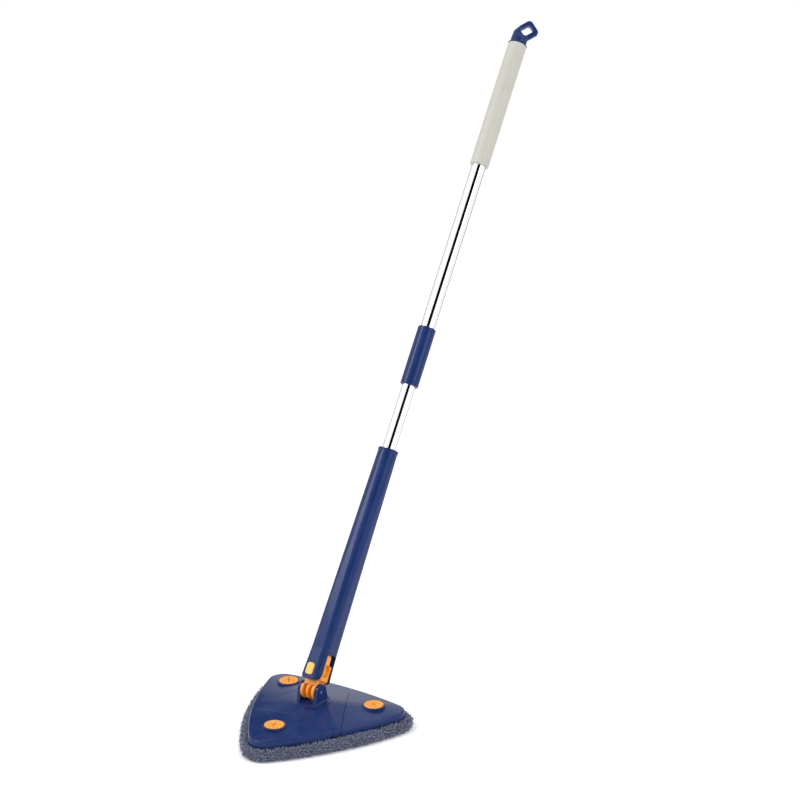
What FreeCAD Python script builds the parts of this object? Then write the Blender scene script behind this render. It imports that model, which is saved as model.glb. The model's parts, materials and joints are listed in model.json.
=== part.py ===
import FreeCAD, Part
import Sketcher
import math
import os

os.makedirs("parts", exist_ok=True)
Vector = FreeCAD.Vector
doc = FreeCAD.newDocument("TriangleMop")

# Sizes, mm and degrees.
SIZES = [
    ("plate_side", 270.0, "plate, corner to corner along one side"),
    ("plate_round", 26.0, "corner radius of the plate"),
    ("plate_bow", 10.3, "how far the middle of each side of the plate bows out"),
    ("plate_wall", 3.0, "wall of the hollow plates"),
    ("plate_foot", 19.5, "height of the plates' lower rim"),
    ("skirt_top", 31.0, "height where the skirt meets the sloping top"),
    ("plate_peak", 44.5, "height of the peak that the three slopes rise to"),
    ("peak_side", 20.0, "side of the small triangle at the peak"),
    ("peak_round", 8.0, "corner radius of that triangle"),
    ("peak_bow", 0.8, "bow of that triangle's sides"),
    ("skirt_round", 4.0, "rounded edge between skirt and top"),
    ("pad_margin", 14.5, "how far the pad's corners stand out past the plate, along a side"),
    ("pad_round", 38.6, "corner radius of the pad"),
    ("pad_bow", 13.0, "how far the middle of each side of the pad bows out"),
    ("pad_thick", 16.0, "thickness of the pad"),
    ("pad_edge_round", 6.0, "rounded edge of the pad"),
    ("base_margin", 1.0, "how far the black base stands out past the plate, along a side"),
    ("base_thick", 3.4, "thickness of the black base"),
    ("fold_strip", 5.95, "how far each fold line lies outside the line between two sides' middles"),
    ("fold_height", 19.0, "height of the fold pins"),
    ("fold_spare", 1.0, "angle left between pad and pad when a corner is folded right down, halved"),
    ("fold_angle", 50.0, "how far a corner folds down"),
    ("seam_gap", 0.8, "gap between two plates at a seam"),
    ("fold_pin", 1.5, "radius of a fold pin"),
    ("fold_knuckle", 3.0, "radius of a fold knuckle"),
    ("fold_room", 0.8, "clearance round the fold knuckles"),
    ("fold_pin_length", 101.0, "length of a fold pin"),
    ("knuckle_width", 10.0, "width of a fold knuckle"),
    ("wing_knuckle_at", 33.0, "from the middle of a fold to the corner's knuckles"),
    ("centre_knuckle_at", 44.5, "from the middle of a fold to the middle piece's outer knuckles"),
    ("fold_spring_at", 12.0, "from the middle of a fold to its spring"),
    ("fold_spring_length", 9.0, "length of a fold spring"),
    ("fold_spring_turns", 4, "turns of a fold spring"),
    ("button_spring_turns", 3, "turns of the button's spring"),
    ("spring_wire", 0.4, "wire radius of the springs"),
    ("spring_air", 0.15, "space between a spring and what it turns round or sits on"),
    ("pin_fit", 0.05, "radial clearance of a pin in what turns on it"),
    ("side_fit", 0.5, "clearance beside a moving piece"),
    ("swing_fit", 0.7, "clearance round the yoke's arm as it swings"),
    ("boss_share", 0.4718, "how far out from its fold to its tip a corner's cloth gripper lies"),
    ("boss_radius", 19.0, "raised boss round a cloth gripper"),
    ("boss_top", 39.0, "height of that boss"),
    ("boss_edge", 1.2, "rounded edge of that boss"),
    ("screw_in", 17.0, "from a fold to a corner's inner screws"),
    ("screw_out", 12.0, "from a corner's boss to its outer screw"),
    ("centre_screw_out", 12.0, "how much further out than the folds the middle's screws lie"),
    ("post_wall", 2.2, "wall of a screw's post"),
    ("screw_bite", 7.0, "how far the small screws reach up past the plates' lower rim"),
    ("web_lap", 1.0, "how far a knuckle's web reaches into its base"),
    ("cup_radius", 13.0, "cup under a cloth gripper"),
    ("cup_floor", 29.0, "height of the cup's floor"),
    ("gripper_radius", 16.0, "cloth gripper disc"),
    ("gripper_thick", 2.6, "thickness of the gripper disc"),
    ("gripper_rise", 0.9, "how far the gripper stands above its boss"),
    ("gripper_edge", 0.8, "rounded edge of the gripper"),
    ("gripper_hole", 1.8, "radius of the hole in the gripper"),
    ("gripper_slit", 0.7, "width of a slit in the gripper"),
    ("slit_reach", 12.0, "how far the slits reach from the gripper's centre"),
    ("pivot_height", 62.1, "height of the pitch pin"),
    ("lean", 32.0, "lean of the pole from upright, at rest"),
    ("ear_gap", 27.0, "space between the two ears"),
    ("ear_thick", 6.0, "thickness of an ear"),
    ("ear_radius", 13.0, "rounded top of an ear"),
    ("ear_foot", 34.0, "width of an ear at its foot"),
    ("ear_flare", 3.0, "fillet at the foot of an ear"),
    ("plinth_radius", 30.0, "round plinth that carries the ears"),
    ("plinth_thick", 6.0, "thickness of the plinth"),
    ("ear_sink", 2.0, "how far the ears reach into the plinth"),
    ("plinth_top", 44.2, "height of the plinth"),
    ("pin_short", 0.5, "how far the pitch pin's ends lie inside the ears' faces"),
    ("roll_pin_short", 5.0, "how far the roll pin's ends lie inside the sleeve's faces"),
    ("pin_radius", 3.0, "radius of the pitch pin and of the roll pin"),
    ("yoke_radius", 15.0, "barrel of the yoke round the pitch pin"),
    ("yoke_cheek", 4.2, "thickness of a cheek of the yoke"),
    ("yoke_web", 3.6, "thickness of the middle web of the yoke"),
    ("yoke_hub", 6.0, "hub of the yoke round the pitch pin"),
    ("yoke_shoulder", 20.0, "height of the yoke's shoulder above the pitch pin"),
    ("arm_width", 32.0, "width of the yoke's arm, side to side"),
    ("arm_sink", 5.0, "how far the arm's corners start below the shoulder"),
    ("arm_round", 4.0, "rounded lower corners of the arm"),
    ("yoke_arch", 4.0, "spring of the yoke's arches above the pitch pin"),
    ("arch_depth", 4.0, "how deep the front arch is set into the yoke"),
    ("arm_depth", 23.0, "depth of the yoke's arm, front to back"),
    ("roll_height", 53.0, "roll pin above the pitch pin, along the pole"),
    ("eye_depth", 14.0, "depth of the arm where it is thinned round the roll pin"),
    ("eye_drop", 9.0, "how far below the roll pin the arm starts to be thinned"),
    ("recess_edge", 4.5, "solid edge in front of the recess in the arm's side"),
    ("recess_foot", 4.0, "from the shoulder to the recess"),
    ("recess_radius", 13.0, "radius of the recess's round back"),
    ("recess_front", 5.0, "how far in front of the pole's axis that radius is struck from"),
    ("recess_height", 34.5, "how far above the pitch pin it is struck from"),
    ("recess_depth", 5.0, "depth of the D-shaped recess in each side of the arm"),
    ("sleeve_foot", 14.0, "lower end of the sleeve above the pitch pin"),
    ("sleeve_length", 404.4, "length of the sleeve"),
    ("knee_rise", 54.0, "from the sleeve's foot to where its flare ends"),
    ("arm_cover", 5.4, "how much wider than the arm the sleeve is at its lower end"),
    ("knee_narrow", 2.2, "how much narrower the sleeve is where its flare ends"),
    ("sleeve_depth", 47.0, "depth of the sleeve at its lower end"),
    ("knee_depth", 42.6, "depth of the sleeve where the flare ends"),
    ("sleeve_round", 11.0, "corner radius of the sleeve's section at its lower end"),
    ("knee_round", 11.8, "corner radius of that section where the flare ends"),
    ("crown_wall", 5.2, "from the lower tube to the sleeve's outside at its top"),
    ("arc_flat", 0.2, "short flats between the arcs of a round section"),
    ("sleeve_wall", 2.4, "wall of the sleeve"),
    ("rim_rise", 0.9, "how far the rim of the sleeve stands out"),
    ("rim_length", 4.0, "length of that rim"),
    ("panel_width", 27.0, "raised front panel at its lower end"),
    ("panel_rise", 1.2, "how far the front panel stands out"),
    ("panel_length", 322.0, "length of the front panel, from the sleeve's foot to where it fades out"),
    ("panel_top_width", 9.0, "width of the front panel there"),
    ("panel_sink", 0.3, "how far the front panel's upper end sinks into the sleeve"),
    ("panel_round", 3.0, "corner radius of the front panel's section"),
    ("rim_edge", 0.7, "rounded edges of the rim"),
    ("slot_round", 3.5, "rounded top of the side slots"),
    ("toe_round", 15.0, "rounded lower corners of the sleeve, seen from the front"),
    ("slot_top", 61.5, "top of the side slots"),
    ("bush_bite", 0.2, "how far the bush sits into the sleeve's wall"),
    ("bush_sink", 1.0, "how far the bush lies below the sleeve's top"),
    ("floor_thick", 6.0, "floor in the sleeve that carries the tube"),
    ("button_rest", 7.4, "from the sleeve's foot to the button"),
    ("button_length", 19.4, "length of the button"),
    ("button_width", 13.2, "width of the button"),
    ("button_rise", 1.8, "how far the button stands out of the panel"),
    ("button_travel", 2.5, "travel of the button"),
    ("button_fit", 0.25, "clearance round the button"),
    ("button_round", 4.0, "corner radius of the button"),
    ("button_edge", 1.0, "rounded front edge of the button"),
    ("latch_depth", 4.0, "depth of the latch hole in the yoke's arm"),
    ("blade_radius", 3.0, "round latch nose on the button"),
    ("flange_thick", 1.6, "thickness of the button's flange"),
    ("flange_edge", 1.8, "how far the flange stands out round the button"),
    ("lip_thick", 2.2, "sleeve wall that holds the flange in"),
    ("seat_room", 0.2, "wall left between the side slots and that plate"),
    ("seat_thick", 1.4, "plate that closes the button's pocket"),
    ("upper_radius", 12.5, "outer radius of the upper tube"),
    ("tube_wall", 0.5, "wall of both tubes"),
    ("tube_play", 0.4, "space between the two tubes"),
    ("plug_flange", 9.0, "flange of the plug under the lower tube"),
    ("lower_shown", 115.7, "lower tube seen between sleeve and collar, pulled right out"),
    ("tube_overlap", 129.0, "how far the lower tube reaches into the upper tube, pulled right out"),
    ("upper_shown", 306.2, "upper tube seen between collar and grip"),
    ("slide_fit", 0.08, "clearance of the sliding bush in the upper tube"),
    ("slide_bush_wall", 3.0, "wall of the sliding bush inside the lower tube"),
    ("bush_length", 16.0, "length of the bushes on the lower tube"),
    ("plug_length", 30.0, "length of the plug in the lower tube"),
    ("head_fit", 0.2, "clearance round that screw's head"),
    ("head_drop", 0.6, "how far that head stands below the floor"),
    ("plug_head_thick", 2.8, "thickness of that head"),
    ("plug_screw_short", 2.0, "from that screw's end to the plug's end"),
    ("plug_lap", 1.0, "how far the plug's flange stands out past the lower tube"),
    ("plug_screw_radius", 2.0, "radius of the screw that holds the plug to the sleeve's floor"),
    ("collar_depth", 17.0, "from the collar's lower end to the upper tube's end inside it"),
    ("collar_length", 105.7, "length of the lock collar"),
    ("collar_wall", 1.7, "wall of the collar round the ferrule"),
    ("collar_play", 0.3, "clearance of the collar on the lower tube and on the ferrule"),
    ("collar_seat", 0.1, "clearance of the collar on the upper tube"),
    ("collar_edge", 1.2, "chamfer at the collar's ends"),
    ("collar_lip", 3.5, "lip at the collar's lower end"),
    ("ferrule_fit", 0.1, "clearance of the ferrule on the lower tube"),
    ("ferrule_air", 0.5, "space at the ferrule's ends inside the collar"),
    ("split_width", 1.2, "width of the splits in the ferrule"),
    ("split_short", 3.0, "from the end of the splits to the upper tube"),
    ("ferrule_wall", 1.5, "wall of the ferrule on the upper tube"),
    ("ferrule_length", 32.0, "length of the ferrule on the upper tube"),
    ("tube_short", 6.0, "how far the upper tube ends below the grip's top"),
    ("grip_length", 237.4, "length of the grip"),
    ("grip_wall", 4.0, "thickness of the grip round the upper tube"),
    ("grip_edge", 1.5, "chamfer at the grip's ends"),
    ("cap_turn", 32.0, "how far the cap is turned on the pole"),
    ("neck_grow", 2.0, "how much larger in radius the cap's neck is than the upper tube"),
    ("neck_length", 7.0, "straight length of the neck"),
    ("bend_rise", 8.0, "from the neck's straight part to the middle of its bend"),
    ("bend_shift", 0.5, "how far the middle of the bend lies to one side"),
    ("bend_thick", 20.0, "thickness of the neck at the middle of its bend"),
    ("bend_round", 9.0, "corner radius of the neck there"),
    ("loop_rise", 15.5, "from the neck's straight part to where the loop starts"),
    ("loop_shift", 5.5, "how far the start of the loop lies to one side"),
    ("loop_bend", 42.0, "bend of the hanging loop from the pole"),
    ("loop_width", 30.0, "width of the hanging loop"),
    ("loop_length", 22.0, "length of the hanging loop from its start"),
    ("loop_thick", 11.0, "thickness of the hanging loop"),
    ("loop_bar", 7.6, "bar of the hanging loop"),
    ("eye_length", 20.5, "length of the opening in the loop"),
    ("loop_corner", 7.0, "outer corner radius of the loop"),
    ("loop_edge", 3.2, "rounded edges of the loop"),
    ("eye_corner", 4.0, "corner radius of the opening"),
    ("flange_height", 3.0, "height of the cap's flange"),
    ("spigot_length", 25.0, "how far the cap reaches into the upper tube"),
    ("screw_radius", 1.4, "radius of the small screws and of the cap's rivet"),
    ("rivet_short", 0.3, "how far the rivet's ends lie inside the tube's surface"),
    ("flange_lip", 0.7, "how far the cap's flange stands out past the grip"),
]

# Where each piece starts and ends, worked out from the sizes above.
PLACES = {
    "pad_side": "plate_side + 2 * pad_margin",
    "base_side": "plate_side + 2 * base_margin",
    "fold_reach": "((plate_side - 2 * plate_round) / sqrt(12) + plate_round + plate_bow) / 2 + fold_strip",
    "tip_reach": "(plate_side - 2 * plate_round) / sqrt(3) + plate_round",
    "boss_reach": "fold_reach + boss_share * (tip_reach - fold_reach)",
    "boss_low": "cup_floor - plate_wall",
    "gripper_low": "boss_top + gripper_rise - gripper_thick",
    "sleeve_width": "arm_width + arm_cover",
    "knee_width": "sleeve_width - knee_narrow",
    "lower_radius": "upper_radius - tube_wall - tube_play",
    "sleeve_crown": "2 * (lower_radius + crown_wall)",
    "collar_radius": "upper_radius + ferrule_wall + collar_wall",
    "grip_radius": "upper_radius + grip_wall",
    "neck_radius": "upper_radius + neck_grow",
    "sleeve_top": "sleeve_foot + sleeve_length",
    "sleeve_knee": "sleeve_foot + knee_rise",
    "panel_top": "sleeve_foot + panel_length",
    "button_low": "sleeve_foot + button_rest",
    "button_high": "button_low + button_length",
    "floor_low": "roll_height + arm_width / 2 + 2 * side_fit",
    "floor_high": "floor_low + floor_thick",
    "plug_head_low": "floor_low - head_drop",
    "plug_head_high": "plug_head_low + plug_head_thick",
    "bush_foot": "sleeve_top - bush_length - bush_sink",
    "lower_foot": "floor_high + plug_flange",
    "collar_foot": "sleeve_top + lower_shown",
    "collar_head": "collar_foot + collar_length",
    "upper_foot": "collar_foot + collar_depth",
    "lower_head": "upper_foot + tube_overlap",
    "grip_foot": "collar_head + upper_shown",
    "grip_head": "grip_foot + grip_length",
    "upper_head": "grip_head - tube_short",
    "neck_foot": "grip_head + flange_height",
    "neck_head": "neck_foot + neck_length",
    "rivet_height": "upper_head - spigot_length / 2",
}
sizes = doc.addObject("Spreadsheet::Sheet", "Sizes")
for row, (alias, number, note) in enumerate(SIZES, start=1):
    sizes.set(f"A{row}", alias)
    sizes.set(f"B{row}", str(number))
    sizes.set(f"C{row}", note)
    sizes.setAlias(f"B{row}", alias)
doc.recompute()


FAR = "400"
TURNS = {"nose": "0", "right": "120", "left": "240"}
CORNER_BEARINGS = (-90, 30, 150)
SLITS = 4
SPLITS = 3
TURN_STEPS = 16
WIRE_SIDES = 8
SPRING_END = "spring_wire + spring_air"


# Helpers.
def read(expression):
    """The number an expression of the sheet's values comes to."""
    answer = sizes.evalExpression(named(expression))
    return float(getattr(answer, "Value", answer))


def named(expression):
    """Writes Sizes. in front of each of the sheet's names, and works places out from them."""
    words = []
    word = ""
    for letter in str(expression) + " ":
        if letter.isalnum() or letter in "_.":
            word += letter
            continue
        if word in PLACES:
            word = f"({named(PLACES[word])})"
        words.append("Sizes." + word if word in ALIASES else word)
        words.append(letter)
        word = ""
    return "".join(words).strip()


ALIASES = {alias for alias, number, note in SIZES}


def bind(thing, **properties):
    for name, expression in properties.items():
        thing.setExpression(name, named(expression))
    return thing


def place(thing, base=("0", "0", "0"), axis=(0, 0, 1), angle="0"):
    """Puts a thing at base, turned about axis by angle."""
    x, y, z = (named(v) for v in base)
    turn = f"rotation(vector({axis[0]}; {axis[1]}; {axis[2]}); {named(angle)})"
    thing.setExpression("Placement", f"placement(vector({x}; {y}; {z}); {turn})")
    return thing


def on_pole(thing, turn="0"):
    """Pole pieces are drawn upright from the pitch pin, turned about the pole, then leaned back."""
    lean = f"placement(vector(0; 0; {named('pivot_height')}); rotation(vector(-1; 0; 0); {named('lean')}))"
    spin = f"placement(vector(0; 0; 0); rotation(vector(0; 0; 1); {named(turn)}))"
    thing.setExpression("Placement", f"{lean} * {spin}")
    return thing


def cylinder(name, radius, length, base=("0", "0", "0"), axis=(0, 0, 1), angle="0"):
    thing = doc.addObject("Part::Cylinder", name)
    bind(thing, Radius=radius, Height=length)
    return place(thing, base, axis, angle)


def rod_x(name, radius, length, y="0", z="0", x="0"):
    """A cylinder along X, centred on x."""
    return cylinder(name, radius, length, (f"({x}) - ({length}) / 2", y, z), (0, 1, 0), "90")


def rod_y(name, radius, near, far, x="0", z="0"):
    """A cylinder along Y from near to far."""
    return cylinder(name, radius, f"({far}) - ({near})", (x, near, z), (-1, 0, 0), "90")


def box(name, low, high, at=None, axis=(0, 0, 1), angle="0"):
    """A box between two corners, turned about the point at if one is given."""
    thing = doc.addObject("Part::Box", name)
    spans = [f"({b}) - ({a})" for a, b in zip(low, high)]
    bind(thing, Length=spans[0], Width=spans[1], Height=spans[2])
    if at is None:
        return place(thing, low)
    corner = "; ".join(named(v) for v in low)
    pivot = "; ".join(named(v) for v in at)
    turn = f"rotation(vector({axis[0]}; {axis[1]}; {axis[2]}); {named(angle)})"
    thing.setExpression(
        "Placement",
        f"placement(vector({pivot}); {turn}) * placement(vector({corner}); rotation(vector(0; 0; 1); 0))",
    )
    return thing


def cone(name, low_radius, high_radius, length, base=("0", "0", "0")):
    thing = doc.addObject("Part::Cone", name)
    bind(thing, Radius1=low_radius, Radius2=high_radius, Height=length)
    return place(thing, base)


def fuse(name, *shapes):
    thing = doc.addObject("Part::MultiFuse", name)
    thing.Shapes = list(shapes)
    return thing


def common(name, first, second):
    thing = doc.addObject("Part::Common", name)
    thing.Base = first
    thing.Tool = second
    return thing


def cut(name, first, second):
    thing = doc.addObject("Part::Cut", name)
    thing.Base = first
    thing.Tool = second
    return thing


def fillet(name, base, radius, wanted):
    """Rounds the edges of base that wanted picks by their middle point and direction."""
    doc.recompute()
    size = read(radius)
    picked = []
    for number, edge in enumerate(base.Shape.Edges, start=1):
        middle = edge.valueAt((edge.FirstParameter + edge.LastParameter) / 2)
        if wanted(edge, middle):
            picked.append((number, size, size))
    thing = doc.addObject("Part::Fillet", name)
    thing.Base = base
    thing.Edges = picked
    return thing


def turned(name, shapes, turn):
    """A group of pieces as one thing, turned about Z."""
    thing = doc.addObject("Part::Compound", name)
    thing.Links = list(shapes)
    return place(thing, angle=turn)


# Sketches and bodies.
def new_body(name):
    return doc.addObject("PartDesign::Body", name)


def origin_plane(body, role):
    return next(f for f in body.Origin.OriginFeatures if f.Role == role)


def new_sketch(body, name, role="XY_Plane", height="0"):
    sketch = body.newObject("Sketcher::SketchObject", name)
    sketch.AttachmentSupport = (origin_plane(body, role), [""])
    sketch.MapMode = "FlatFace"
    sketch.setExpression("AttachmentOffset.Base.z", named(height))
    return sketch


def hold(sketch, kind, geometry, point, expression):
    """Ties one coordinate of a point to an expression."""
    number = sketch.addConstraint(Sketcher.Constraint(kind, -1, 1, geometry, point, read(expression)))
    sketch.setExpression(f"Constraints[{number}]", named(expression))


def rounded_outline(sketch, centres, radius):
    """A closed outline of arcs about centres, joined by straight tangent sides, anticlockwise."""
    size = read(radius)
    points = [Vector(read(x), read(y), 0) for x, y in centres]
    count = len(points)
    sides = []
    for this, following in zip(points, points[1:] + points[:1]):
        along = (following - this).normalize()
        out = Vector(along.y, -along.x, 0) * size
        sides.append((this + out, following + out, math.atan2(out.y, out.x)))
    lines = [sketch.addGeometry(Part.LineSegment(a, b), False) for a, b, angle in sides]
    arcs = []
    for number, centre in enumerate(points):
        start = sides[number - 1][2]
        end = sides[number][2]
        circle = Part.Circle(centre, Vector(0, 0, 1), size)
        arcs.append(sketch.addGeometry(Part.ArcOfCircle(circle, start, end), False))
    for number in range(count):
        sketch.addConstraint(Sketcher.Constraint("Tangent", lines[number - 1], 2, arcs[number], 1))
        sketch.addConstraint(Sketcher.Constraint("Tangent", arcs[number], 2, lines[number], 1))
    for number, (x, y) in enumerate(centres):
        hold(sketch, "DistanceX", arcs[number], 3, x)
        hold(sketch, "DistanceY", arcs[number], 3, y)
        bound = sketch.addConstraint(Sketcher.Constraint("Radius", arcs[number], size))
        sketch.setExpression(f"Constraints[{bound}]", named(radius))
    return sketch


def bowed_triangle(sketch, side, radius, bow):
    """The head's triangle, its nose towards -Y: round corners joined by sides that bow out."""
    core = f"(({side}) - 2 * ({radius}))"
    grown = f"(({core} * {core} / 4 + ({bow}) * ({bow})) / (2 * ({bow})))"
    corner_size = read(radius)
    side_size = read(f"{grown} + ({radius})")
    swing = math.degrees(math.asin(read(f"{core} / 2 / {grown}")))
    back = read(f"{core} / sqrt(12) - {grown} + ({bow})")
    corners = []
    sides = []
    for bearing in CORNER_BEARINGS:
        x, y = on_ray(f"{core} / sqrt(3)", bearing)
        half = 60 - swing
        arc = sketch_arc(sketch, read(x), read(y), corner_size, bearing - half, bearing + half)
        corners.append((arc, x, y))
        way = math.radians(bearing + 60)
        sides.append(sketch_arc(sketch, back * math.cos(way), back * math.sin(way), side_size,
                                bearing + 60 - swing, bearing + 60 + swing))
    for number, (corner, x, y) in enumerate(corners):
        following = corners[(number + 1) % len(corners)][0]
        sketch.addConstraint(Sketcher.Constraint("Tangent", corner, 2, sides[number], 1))
        sketch.addConstraint(Sketcher.Constraint("Tangent", sides[number], 2, following, 1))
    for number, (corner, x, y) in enumerate(corners):
        hold(sketch, "DistanceX", corner, 3, x)
        hold(sketch, "DistanceY", corner, 3, y)
        for arc, size in ((corner, radius), (sides[number], f"{grown} + ({radius})")):
            bound = sketch.addConstraint(Sketcher.Constraint("Radius", arc, read(size)))
            sketch.setExpression(f"Constraints[{bound}]", named(size))
    return sketch


def sketch_arc(sketch, x, y, radius, start, end):
    circle = Part.Circle(Vector(x, y, 0), Vector(0, 0, 1), radius)
    return sketch.addGeometry(Part.ArcOfCircle(circle, math.radians(start), math.radians(end)), False)


def on_ray(reach, bearing):
    """A place at reach from the head's centre, in the direction of a bearing."""
    way = math.radians(bearing)
    return f"({reach}) * {math.cos(way):.12f}", f"({reach}) * {math.sin(way):.12f}"


def rectangle_centres(width, depth, radius, middle="0"):
    """Arc centres of a rounded rectangle."""
    x = f"(({width}) / 2 - ({radius}))"
    y = f"(({depth}) / 2 - ({radius}))"
    return [(f"-{x}", f"({middle}) - {y}"), (x, f"({middle}) - {y}"),
            (x, f"({middle}) + {y}"), (f"-{x}", f"({middle}) + {y}")]


def slab(body, sketch, name, length):
    pad = body.newObject("PartDesign::Pad", name)
    pad.Profile = sketch
    pad.setExpression("Length", named(length))
    body.Tip = pad
    return pad


def loft(body, first, others, name):
    thing = body.newObject("PartDesign::AdditiveLoft", name)
    thing.Profile = first
    thing.Sections = others
    thing.Ruled = True
    body.Tip = thing
    return thing


def straight_outline(sketch, points):
    """A closed outline of straight sides through points."""
    corners = [Vector(read(x), read(y), 0) for x, y in points]
    count = len(corners)
    for number in range(count):
        sketch.addGeometry(Part.LineSegment(corners[number], corners[(number + 1) % count]), False)
    for number, (x, y) in enumerate(points):
        before = (number - 1) % count
        sketch.addConstraint(Sketcher.Constraint("Coincident", before, 2, number, 1))
        hold(sketch, "DistanceX", number, 1, x)
        hold(sketch, "DistanceY", number, 1, y)
    return sketch


def revolve(body, name, points):
    """A piece turned about the pole's axis; points are (radius, height) round its section."""
    sketch = straight_outline(new_sketch(body, name + "_section", "XZ_Plane"), points)
    spin = body.newObject("PartDesign::Revolution", name + "_turned")
    spin.Profile = sketch
    spin.ReferenceAxis = (sketch, ["V_Axis"])
    spin.Angle = 360
    body.Tip = spin
    return spin


parts = []


def part(node, thing):
    """Names a finished piece; its label is its file's name."""
    thing.Label = node
    parts.append(thing)
    return thing


def pole_ring(node, points):
    """A round piece on the pole, from its section."""
    body = new_body(node + "_body")
    revolve(body, node, points)
    return on_pole(body)


def coil(name, radius, room, turns):
    """A coil spring along Z from 0, to be placed at SPRING_END from the start of its room."""
    size = read(radius)
    wire = read("spring_wire")
    rise = read(f"{room} - 2 * ({SPRING_END})")
    steps = round(read(turns) * TURN_STEPS)
    rings = []
    for step in range(steps + 1):
        way = 2 * math.pi * step / TURN_STEPS
        out = Vector(math.cos(way), math.sin(way), 0)
        along = Vector(-math.sin(way), math.cos(way), rise / steps * TURN_STEPS / (2 * math.pi * size))
        up = out.cross(along).normalize()
        middle = out * size + Vector(0, 0, rise * step / steps)
        around = [2 * math.pi * side / WIRE_SIDES for side in range(WIRE_SIDES + 1)]
        rings.append(Part.makePolygon([middle + (out * math.cos(a) + up * math.sin(a)) * wire for a in around]))
    thing = doc.addObject("Part::Feature", name)
    thing.Shape = Part.makeLoft(rings, True, True)
    return thing


# The head's plates.


def hollow_form(name, inset, foot, brow, peak):
    """The head's bowed triangle, set in by inset: an upright skirt and three low slopes to the peak."""
    body = new_body(name)
    outline = (f"plate_side - 2 * ({inset})", f"plate_round - ({inset})", "plate_bow")
    low = bowed_triangle(new_sketch(body, name + "_low", height=foot), *outline)
    slab(body, low, name + "_skirt", f"({brow}) - ({foot})")
    mid = bowed_triangle(new_sketch(body, name + "_mid", height=brow), *outline)
    top = bowed_triangle(new_sketch(body, name + "_top", height=peak), "peak_side", "peak_round", "peak_bow")
    loft(body, mid, [top], name + "_slope")
    return body


plate_block = hollow_form("plate_block", "0", "plate_foot", "skirt_top", "plate_peak")
brow_height = read("skirt_top")
plate_form = fillet("plate_form", plate_block, "skirt_round",
                    lambda edge, mid: abs(mid.z - brow_height) < 0.01 and edge.BoundBox.ZLength < 0.01)
plate_void = hollow_form("plate_void", "plate_wall", "plate_foot - 2 * plate_wall", "skirt_top - plate_wall",
                         "plate_peak - plate_wall")
SEAM = "fold_reach + seam_gap / 2"


def triangle_zone(name, reach):
    """A triangular column inside the three folds, each side at reach from the centre."""
    zone = doc.addObject("Part::Prism", name)
    zone.Polygon = 3
    bind(zone, Circumradius=f"2 * ({reach})", Height=FAR)
    return place(zone, angle="90")


def outer_zone(name, reach):
    """Everything beyond a line at reach on the nose's side."""
    return box(name, (f"-{FAR}", f"-{FAR}", f"-{FAR}"), (FAR, f"-({reach})", FAR))


def three_ways(name, shape):
    """One shape at each of the three folds."""
    return fuse(name, *(turned(f"{name}_{side}", [shape], turn) for side, turn in TURNS.items()))


def posts(name, spots, radius, low, high):
    """Upright cylinders at spots."""
    stand = [cylinder(f"{name}_{number}", radius, f"({high}) - ({low})", (x, y, low))
             for number, (x, y) in enumerate(spots, start=1)]
    return fuse(name, *stand)


WING_SCREWS = [("-boss_reach / 3", "-fold_reach - screw_in"), ("boss_reach / 3", "-fold_reach - screw_in"),
               ("0", "-boss_reach - boss_radius - screw_out")]
CENTRE_SCREWS = [on_ray("fold_reach + centre_screw_out", bearing + 60) for bearing in CORNER_BEARINGS]
POST = "screw_radius + post_wall"
SCREW_TOP = "plate_foot + screw_bite"
channel = rod_x("fold_channel", "fold_knuckle + fold_room", "2 * plate_side", "-fold_reach", "fold_height")

# Corner plates: one form for the nose, turned for the other two.
wing_block = common("wing_block", plate_form, outer_zone("wing_zone", SEAM))
wing_room = common("wing_room", plate_void, outer_zone("wing_inner_zone", f"{SEAM} + plate_wall"))
wing_posts = posts("wing_posts", WING_SCREWS, POST, "pad_thick + base_thick", "plate_peak")
wing_shell = cut("wing_shell", wing_block, cut("wing_hollow", wing_room, wing_posts))
boss = cylinder("boss", "boss_radius", "boss_top - boss_low", ("0", "-boss_reach", "boss_low"))
boss_height = read("boss_top")
boss_round = fillet("boss_round", boss, "boss_edge", lambda edge, mid: mid.z > boss_height - 0.01)
cup = cylinder("cup", "cup_radius", "boss_top", ("0", "-boss_reach", "cup_floor"))
gripper_seat = cylinder("gripper_seat", "gripper_radius", "boss_top", ("0", "-boss_reach", "gripper_low"))
wing_bores = posts("wing_bores", WING_SCREWS, "screw_radius", "pad_thick", SCREW_TOP)
wing_cuts = fuse("wing_cuts", cup, gripper_seat, channel, wing_bores)
wing_form = cut("wing_form", fuse("wing_with_boss", wing_shell, boss_round), wing_cuts)

# Cloth gripper: a soft disc with a hole and slits that hold a corner of cloth.
gripper_disc = cylinder("gripper_disc", "gripper_radius", "gripper_thick",
                        ("0", "-boss_reach", "gripper_low"))
gripper_soft = fillet("gripper_soft", gripper_disc, "gripper_edge",
                      lambda edge, mid: mid.z > boss_height + 0.1)
slits = [cylinder("gripper_middle", "gripper_hole", "plate_peak - boss_low",
                  ("0", "-boss_reach", "boss_low"))]
for number in range(SLITS):
    low = ("-slit_reach", "-gripper_slit / 2", "boss_low")
    high = ("slit_reach", "gripper_slit / 2", "plate_peak")
    slits.append(box(f"gripper_slit_{number + 1}", low, high, ("0", "-boss_reach", "0"), (0, 0, 1),
                     str((number + 0.5) * 180 / SLITS)))
gripper_form = cut("gripper_form", gripper_soft, fuse("gripper_cuts", *slits))

# Base: the black plate that closes each hollow plate from below and carries the fold knuckles.
base_body = new_body("base_body")
base_line = bowed_triangle(new_sketch(base_body, "base_line", height="pad_thick"), "base_side",
                           "plate_round + base_margin", "plate_bow")
slab(base_body, base_line, "base_slab", "base_thick")
BASE_EDGE = "fold_knuckle + fold_room"
WING_KNUCKLES = ["-wing_knuckle_at", "wing_knuckle_at"]
CENTRE_KNUCKLES = ["-centre_knuckle_at", "0", "centre_knuckle_at"]
WEB = f"({BASE_EDGE} + web_lap)"


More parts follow.
